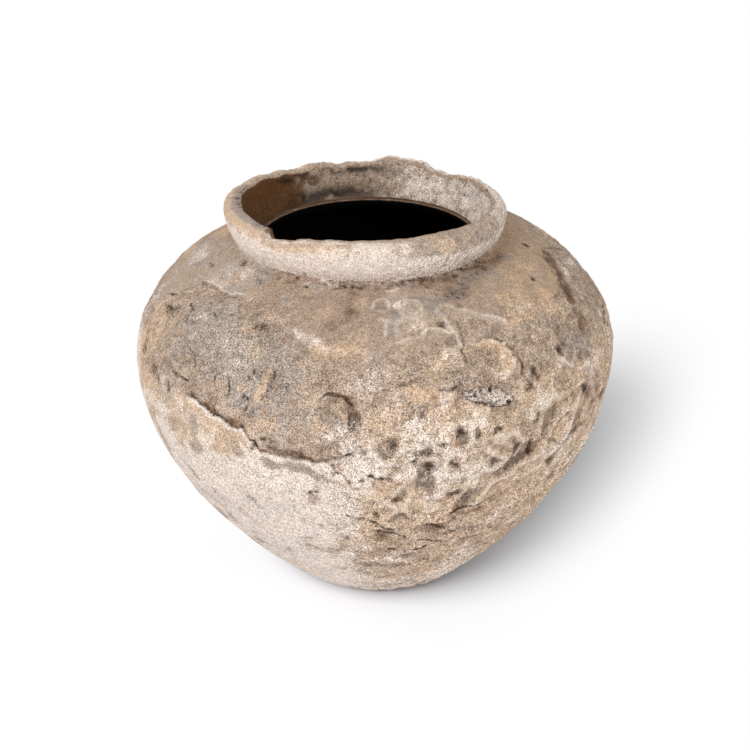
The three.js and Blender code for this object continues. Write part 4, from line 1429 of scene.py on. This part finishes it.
def smooth_weights(corners, count):
    """Weights that carry that many section corners to points of a smooth open line through them."""
    places = np.linspace(0, corners - 1, count)
    left = np.clip(np.floor(places).astype(int), 0, corners - 2)
    t = places - left
    weights = np.zeros((count, corners))
    rows = np.arange(count)
    terms = (
        -0.5 * t + t**2 - 0.5 * t**3,
        1 - 2.5 * t**2 + 1.5 * t**3,
        0.5 * t + 2 * t**2 - 1.5 * t**3,
        -0.5 * t**2 + 0.5 * t**3,
    )
    for shift, term in zip((-1, 0, 1, 2), terms):
        np.add.at(weights, (rows, np.clip(left + shift, 0, corners - 1)), term)
    return weights


def outward(grid):
    """Unit normals of a grid that runs round first: the cross product of the ways round and along it."""
    normal = np.cross(np.roll(grid, -1, 0) - np.roll(grid, 1, 0), np.gradient(grid, axis=1))
    return normal / (np.linalg.norm(normal, axis=-1, keepdims=True) + 1e-9)


class JAR_OT_neck(JarStep, bpy.types.Operator):
    """Flared collar and the chipped lip that was rolled onto it"""

    bl_idname = "jar.neck"
    bl_label = "Collar and lip"

    def build(self, shape, finish, wall):
        """One smooth section through corner points, whose top follows the wear round the rim, is pushed
        in and out by noise and then parted into the lip and the collar at the same line."""
        turns = np.sort(np.concatenate([front_dense(820), np.radians(np.linspace(-136, -133.5, 14))]))
        wear = shape.deepest_wear / MILLIMETRE * around(turns, RIM_WEAR)
        ring = on_rings(turns, 90, 0.0)
        back = sector(turns, -20, 190, 30)
        ragged_wear = (0.35 + 0.65 * back) * (0.8 * cloud(ring, 9, 91) + 0.5 * cloud(ring, 4, 92))
        wear = wear + ragged_wear * ease(wear, 0.0, 1.5)
        top = shape.lip_height / MILLIMETRE - np.maximum(wear, 0)
        top = top + 0.5 * sector(turns, -122, -50, 12)
        foot = shape.neck_height / MILLIMETRE - 1.5
        flat = ease(wear, 2.0, 0.2)
        inward = 1.7 * sector(turns, -129, -46, 12)
        section = (
            (84.0, foot), (85.8, foot + 4.0), (88.0, 248.4), (90.0, LIP_SEAM), (91.6, LIP_SEAM + 5.0),
            (92.4, np.minimum(262, top - 4.2)), (91.4, top - 1.8), (88.8, top - 0.4 + 0.2 * flat),
            (85.4 - 0.5 * inward, top + 0.1), (82.3 - inward, top + 0.1), (81.0 - inward, top - 0.7),
            (80.2 - inward, top - 2.8), (79.0 - 0.6 * inward, np.minimum(257, top - 6.0)),
            (77.5, LIP_SEAM), (75.2, 248), (72.6, 243.6), (71.8, 241.2),
        )
        corners = np.array([np.broadcast_arrays(*corner, top)[:2] for corner in section])
        stations = 96
        part = np.linspace(0, len(section) - 1, stations)
        weights = smooth_weights(len(section), stations)
        pinch = 2.4 * sector(turns, -26, 44, 34)[:, None] * bell(part - 6, 3.2)[None, :]
        radius = np.stack(corners[:, 0], axis=1) @ weights.T - pinch
        height = np.stack(corners[:, 1], axis=1) @ weights.T
        angle = turns[:, None] + np.zeros_like(radius)
        place = on_rings(angle, radius, height, wall.shift)
        grid, stains = self.weather(shape, angle, place, part, top[:, None])
        low = int(np.searchsorted(part, 3.0))
        high = int(np.searchsorted(part, 13.0))
        lip = np.arange(low, high + 1)
        self.part_off("jar_lip", grid, stains, lip, [(0, len(lip))], finish, "rim_lip")
        collar = np.concatenate([np.arange(0, low + 1), np.arange(high, stations)])
        shown = [(0, low + 1), (low + 1, len(collar))]
        self.part_off("jar_collar", grid, stains, collar, shown, finish, "neck_collar")

    def part_off(self, name, grid, stains, keep, shown, finish, node):
        """Closed ring made of some of the section's points."""
        kept = {mark: value[:, keep] for mark, value in stains.items()}
        piece = carried_round(name, grid[:, keep], kept, shown)
        piece.data.normals_split_custom_set_from_vertices(outward(grid)[:, keep].reshape(-1, 3).tolist())
        finish_piece(piece, shared("crusted_clay", crusted, finish), "clay", node)

    def weather(self, shape, angle, place, part, top):
        """Grid pushed in and out along its normals, and the stains of the neck, from noise and from how
        far a point is up, along the section and round."""
        t = part + np.zeros_like(angle)
        outside = 1 - ease(t, 8.0, 9.0)
        inside = ease(t, 9.5, 11.0)
        height = place[..., 2]
        swell, lump = cloud(place, 30, 93), cloud(place, 12, 94)
        crust, fine = cloud(place, 6, 95), cloud(place, 3.1, 96)
        right = sector(angle, -74, 60, 24)
        left = sector(angle, -215, -120, 20)
        rough = np.clip(
            0.32 + 0.55 * right * outside + 0.35 * inside + 0.2 * ease(height, 250, 243) * outside, 0, 1,
        )
        worn = ease(top, 268, 264)
        rough = np.clip(rough + 0.35 * worn * bell(height - top, 4), 0, 1) * shape.grit
        near, number = grains(place, 9, 97)
        beyond = ease(near + 0.5 * fine, 0.5 + 1.6 * number, 1.1 + 2.6 * number)
        pit = (number < 0.14 + 0.16 * right) * (1 - beyond)
        push = (
            0.4 * swell + (0.2 + 0.2 * right) * lump + rough * (0.45 * crust + 0.4 * fine)
            - 1.1 * pit * rough
        )
        hollow, edge = hollows(push, 2.6, 0.5)
        push = push * ease(t, 0, 1.5) * (1 - ease(t, 15, 16))
        grid = place + outward(place) * push[..., None]
        low_bloom = ease(height + 2 * lump, 262, 252) * sector(angle, -170, -58, 26)
        # Painted light: the inner right wall of the neck, which faces the light, is made paler.
        bright = inside * sector(angle, -12, 78, 36)
        lime = (
            outside * (1.0 + 0.5 * low_bloom + 0.15 * lump) * (1 - 0.38 * right)
            + bright * (0.6 + 0.2 * crust)
        )
        band = ease(height + lump, 253, 264) * sector(angle, -200, -26, 26)
        high_inside = inside * sector(angle, 100, 200, 30) * ease(height, 258, 265)
        tan = outside * (0.34 * band + 0.2 * ease(lump, 0.1, 0.6)) + 0.5 * high_inside
        crown = (
            ease(t + 0.4 * crust, 6.7, 8.1) * (1 - ease(t + 0.4 * crust, 9.0, 10.3)) * left * (1 - worn)
        )
        strip = ease(t, 4.6, 5.6) * (1 - ease(t, 7.0, 7.6)) * sector(angle, -215, -100, 30)
        lime = (
            (lime - 0.4 * outside * band) * (1 - crown) * (1 - 0.4 * strip) + 0.25 * outside * low_bloom
        )
        # Painted shade darkens the crown towards its inner edge, with dark speckles; its outer part is
        # painted paler, as lit.
        inner = crown * ease(t + 0.4 * crust, 8.0, 9.2)
        behind = sector(angle, 92, 172, 22) * ease(t, 5.6, 7.4) * (1 - ease(t, 10.0, 11.5))
        lime = lime * (1 - 0.6 * behind) + 0.25 * (crown - inner) * at_least(0.6, fine, -0.3, 0.4)
        tan = tan * (1 - 0.9 * crown) + 0.4 * strip + 0.35 * behind
        # Painted shade on the inner left wall of the neck: browner and darker there.
        inner_left_shade = inside * sector(angle, 128, 256, 26)
        grey = crown + 0.4 * right * outside + 0.3 * ease(-lump, 0.1, 0.6) * (1 - inner_left_shade) + 0.25 * behind
        chip = sector(angle, -136.2, -133.2, 0.8) * ease(t, 6.5, 8.0) * (1 - ease(t, 12, 14))
        brown = 1.4 * inner_left_shade + crown * (0.1 + 0.3 * ease(crust + fine, -0.3, 0.6))
        brown += 0.62 * inside * sector(angle, 60, 130, 30) * ease(0.8 * crust - lump, -0.5, 0.9)
        brown += 0.5 * inside * sector(angle, -30, 60, 20) * ease(height, 250, 244) + 0.8 * chip
        rust = 0.5 * outside * bell(height - 243.5, 2.2) * ease(lump, 0.15, 0.5)
        streak = bell(height - 259, 3.0) * sector(angle, 80, 140, 24) * ease(crust + lump, -0.5, 0.4)
        smoky = (
            bell(height - 245, 5.4) * sector(angle, 84, 134, 26) * ease(crust + lump, -1.6, -0.1) + streak
        )
        soot = 0.88 * inside * np.clip(smoky, 0, 1)
        dark = 0.7 * pit * rough + inner_left_shade * (0.1 + 0.25 * ease(height + 3 * lump, 262, 246))
        dark += 0.5 * outside * ease(height, 244.5, 242) * ease(crust, -0.2, 0.4)
        dark += inner * (0.2 + 0.4 * ease(crust + fine, -0.3, 0.6))
        speck = np.clip(rough + 0.1 * outside * ease(height, 258, 250), 0, 1)
        speck = speck * (1 - 0.95 * inner_left_shade) * (1 - 0.7 * crown)
        calm = np.maximum(left * ease(height, 246, 256), right * ease(height, 256, 262))
        speck = speck * (1 - 0.45 * outside * calm)
        smooth = 1 - 0.9 * inner_left_shade
        return grid, {
            "lime": lime, "tan": tan, "grey": grey, "brown": brown, "rust": rust, "dark": dark,
            "grain": speck, "hollow": hollow * smooth, "edge": edge * smooth, "soot": soot,
            "thread": 0 * speck,
        }


class JAR_OT_seams(JarStep, bpy.types.Operator):
    """Slip in the joints between the sections"""

    bl_idname = "jar.seams"
    bl_label = "Slip seams"

    def build(self, shape, finish, wall):
        """The seams keep their solids and get the slip's own finish."""
        material = shared("seam_slip", slip, finish)
        for name in ("base_seam", "belly_seam", "collar_seam"):
            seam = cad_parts[name]
            seam.data.materials.clear()
            seam.data.materials.append(material)


def slip(name, finish):
    """Dried slip: brown clay with streaks and a fine bump, all from noise."""
    material, place = new_material(name)
    streak = place.noise(90, 4, 0.6)
    grain = place.noise(900, 2)
    body = place.node("ShaderNodeRGB", {}, {})
    body.socket.default_value = opaque(finish.clay)
    body = body.mixed(finish.brown, streak.step(0.35, 0.7) * 0.8)
    body = body.scaled(0.8 + 0.4 * grain)
    bump = place.node("ShaderNodeBump", {}, {
        "Strength": 0.4, "Distance": 0.0008, "Height": grain + streak,
    })
    shade = {"Base Color": body, "Roughness": 0.85 + 0.12 * grain, "Normal": bump}
    surface = place.node("ShaderNodeBsdfPrincipled", {}, shade)
    place.node("ShaderNodeOutputMaterial", {}, {"Surface": surface})
    return material


class JAR_OT_stage(bpy.types.Operator):
    """Pale floor, soft light and the camera"""

    bl_idname = "jar.stage"
    bl_label = "Stage"
    bl_options = {"REGISTER", "UNDO"}

    def execute(self, context):
        stage = context.scene.jar_stage
        self.camera(context.scene)
        self.floor(stage)
        self.light(context.scene, stage)
        return {"FINISHED"}

    def camera(self, scene):
        """Camera in front of the jar and above it, tilted down, with a slight roll."""
        stand = (-0.0001, -0.9164, 0.5994)
        tilt, roll = 0.466, -0.012
        forward = np.array([0, math.cos(tilt), -math.sin(tilt)])
        right = np.array([1.0, 0.0, 0.0])
        up = np.cross(right, forward)
        across = math.cos(roll) * right + math.sin(roll) * up
        above = math.cos(roll) * up - math.sin(roll) * right
        data = bpy.data.cameras.new("photo_camera")
        data.sensor_width = 36
        data.lens = 72
        camera = bpy.data.objects.new("photo_camera", data)
        turn = Matrix(np.stack([across, above, -forward], axis=1).tolist()).to_4x4()
        camera.matrix_world = Matrix.Translation(stand) @ turn
        scene.collection.objects.link(camera)
        scene.camera = camera

    def light(self, scene, stage):
        """One large soft lamp from the front left, a weak one from the right, even light all round, and a
        lamp for the floor alone, which casts the shadow."""
        lamps = (
            ("key_lamp", (-1.0, -0.75, 1.5), 0.9, 12.0),
            ("side_lamp", (0.75, -1.6, 0.7), 1.2, 9.5),
            ("shadow_lamp", (-1.2, -2.0, 1.9), 1.4, 330.0),
        )
        for name, place, size, power in lamps:
            data = bpy.data.lights.new(name, "AREA")
            data.shape = "DISK"
            data.size = size
            data.energy = power * stage.key_power
            lamp = bpy.data.objects.new(name, data)
            lamp.location = place
            aim = np.array([0, 0, AIM_HEIGHT]) - np.array(place)
            lamp.rotation_mode = "QUATERNION"
            lamp.rotation_quaternion = Vector(aim.tolist()).to_track_quat("-Z", "Y")
            scene.collection.objects.link(lamp)
        floor_only = bpy.data.collections.new("floor_only")
        floor_only.objects.link(bpy.data.objects["studio_floor"])
        bpy.data.objects["shadow_lamp"].light_linking.receiver_collection = floor_only
        world = bpy.data.worlds.new("studio")
        world.use_nodes = True
        world.node_tree.nodes.clear()
        start = Wire(world.node_tree)
        path = start.node("ShaderNodeLightPath", {}, {})
        even = start.node("ShaderNodeBackground", {}, {
            "Color": (1, 1, 1, 1), "Strength": 0.7 * stage.fill_power,
        })
        white = start.node("ShaderNodeBackground", {}, {"Color": (1, 1, 1, 1), "Strength": 1.0})
        seen = start.node("ShaderNodeMixShader", {}, {0: path, 1: even, 2: white})
        start.node("ShaderNodeOutputWorld", {}, {"Surface": seen})
        scene.world = world
        scene.view_settings.view_transform = "Standard"

    def floor(self, stage):
        """Wide flat sheet. The camera sees it lit by its own lamp near the jar and plain white beyond the
        shadow; the jar gets an even glow from it."""
        count = 9
        steps = np.linspace(-3.5, 3.5, count)
        across, deep = np.meshgrid(steps, steps, indexing="ij")
        points = np.stack([across, deep, np.zeros_like(across)], axis=-1).reshape(-1, 3)
        low = (np.arange(count - 1)[:, None] * count + np.arange(count - 1)[None, :]).ravel()
        faces = np.stack([low, low + count, low + count + 1, low + 1], axis=-1)
        floor = mesh_object("studio_floor", points / MILLIMETRE, faces, {})
        material, place = new_material("pale_floor")
        path = place.node("ShaderNodeLightPath", {}, {})
        base = place.node("ShaderNodeBsdfDiffuse", {}, {"Color": opaque(stage.floor)})
        dull = place.node("ShaderNodeBsdfDiffuse", {}, {"Color": (0.22, 0.22, 0.226, 1)})
        bounce = place.node("ShaderNodeEmission", {}, {"Color": (1, 1, 1, 1), "Strength": 0.17})
        white = place.node("ShaderNodeEmission", {}, {"Color": (1, 1, 1, 1), "Strength": 1.0})
        unseen = place.node("ShaderNodeAddShader", {}, {0: dull, 1: bounce})
        # Ellipse behind the jar's right: inside it the floor keeps its lamp's real shadow, and outward it
        # fades to white, so the outline and fall-off of the shadow are painted.
        shadow = {"Vector": place, "Location": (0.037, 0.037, 0)}
        shadow.update({"Rotation": (0, 0, 0.965), "Scale": (0.47, 0.144, 1)})
        reach = place.node("ShaderNodeMapping", {"vector_type": "TEXTURE"}, shadow)
        away = place.node("ShaderNodeVectorMath", {"operation": "LENGTH"}, {0: reach}, "Value")
        faded = place.node("ShaderNodeMixShader", {}, {0: away.step(0.22, 1.0), 1: base, 2: white})
        seen = place.node("ShaderNodeMixShader", {}, {0: path, 1: unseen, 2: faded})
        place.node("ShaderNodeOutputMaterial", {}, {"Surface": seen})
        floor.data.materials.append(material)


class JAR_PT_panel(bpy.types.Panel):
    """Sizes, colours and steps of the jar"""

    bl_idname = "JAR_PT_panel"
    bl_label = "Earthenware jar"
    bl_space_type = "VIEW_3D"
    bl_region_type = "UI"
    bl_category = "Jar"

    def draw(self, context):
        layout = self.layout
        for group in (context.scene.jar_shape, context.scene.jar_finish, context.scene.jar_stage):
            for name in group.__annotations__:
                layout.prop(group, name)
        for step in STEPS:
            layout.operator(step.bl_idname)


STEPS = (
    JAR_OT_base, JAR_OT_bowl, JAR_OT_shoulder, JAR_OT_neck, JAR_OT_coat, JAR_OT_skin, JAR_OT_crust,
    JAR_OT_patches, JAR_OT_seams, JAR_OT_stage,
)
CLASSES = (JarShape, JarFinish, JarStage, *STEPS, JAR_PT_panel)


def register():
    for kind in CLASSES:
        bpy.utils.register_class(kind)
    bpy.types.Scene.jar_shape = bpy.props.PointerProperty(type=JarShape)
    bpy.types.Scene.jar_finish = bpy.props.PointerProperty(type=JarFinish)
    bpy.types.Scene.jar_stage = bpy.props.PointerProperty(type=JarStage)


def unregister():
    del bpy.types.Scene.jar_stage
    del bpy.types.Scene.jar_finish
    del bpy.types.Scene.jar_shape
    for kind in reversed(CLASSES):
        bpy.utils.unregister_class(kind)


def main():
    """Registers the add-on and runs its steps in order."""
    register()
    bpy.ops.jar.base()
    bpy.ops.jar.bowl()
    bpy.ops.jar.shoulder()
    bpy.ops.jar.neck()
    bpy.ops.jar.coat()
    bpy.ops.jar.skin()
    bpy.ops.jar.crust()
    bpy.ops.jar.patches()
    bpy.ops.jar.seams()
    bpy.ops.jar.stage()


if __name__ == "__main__":
    main()
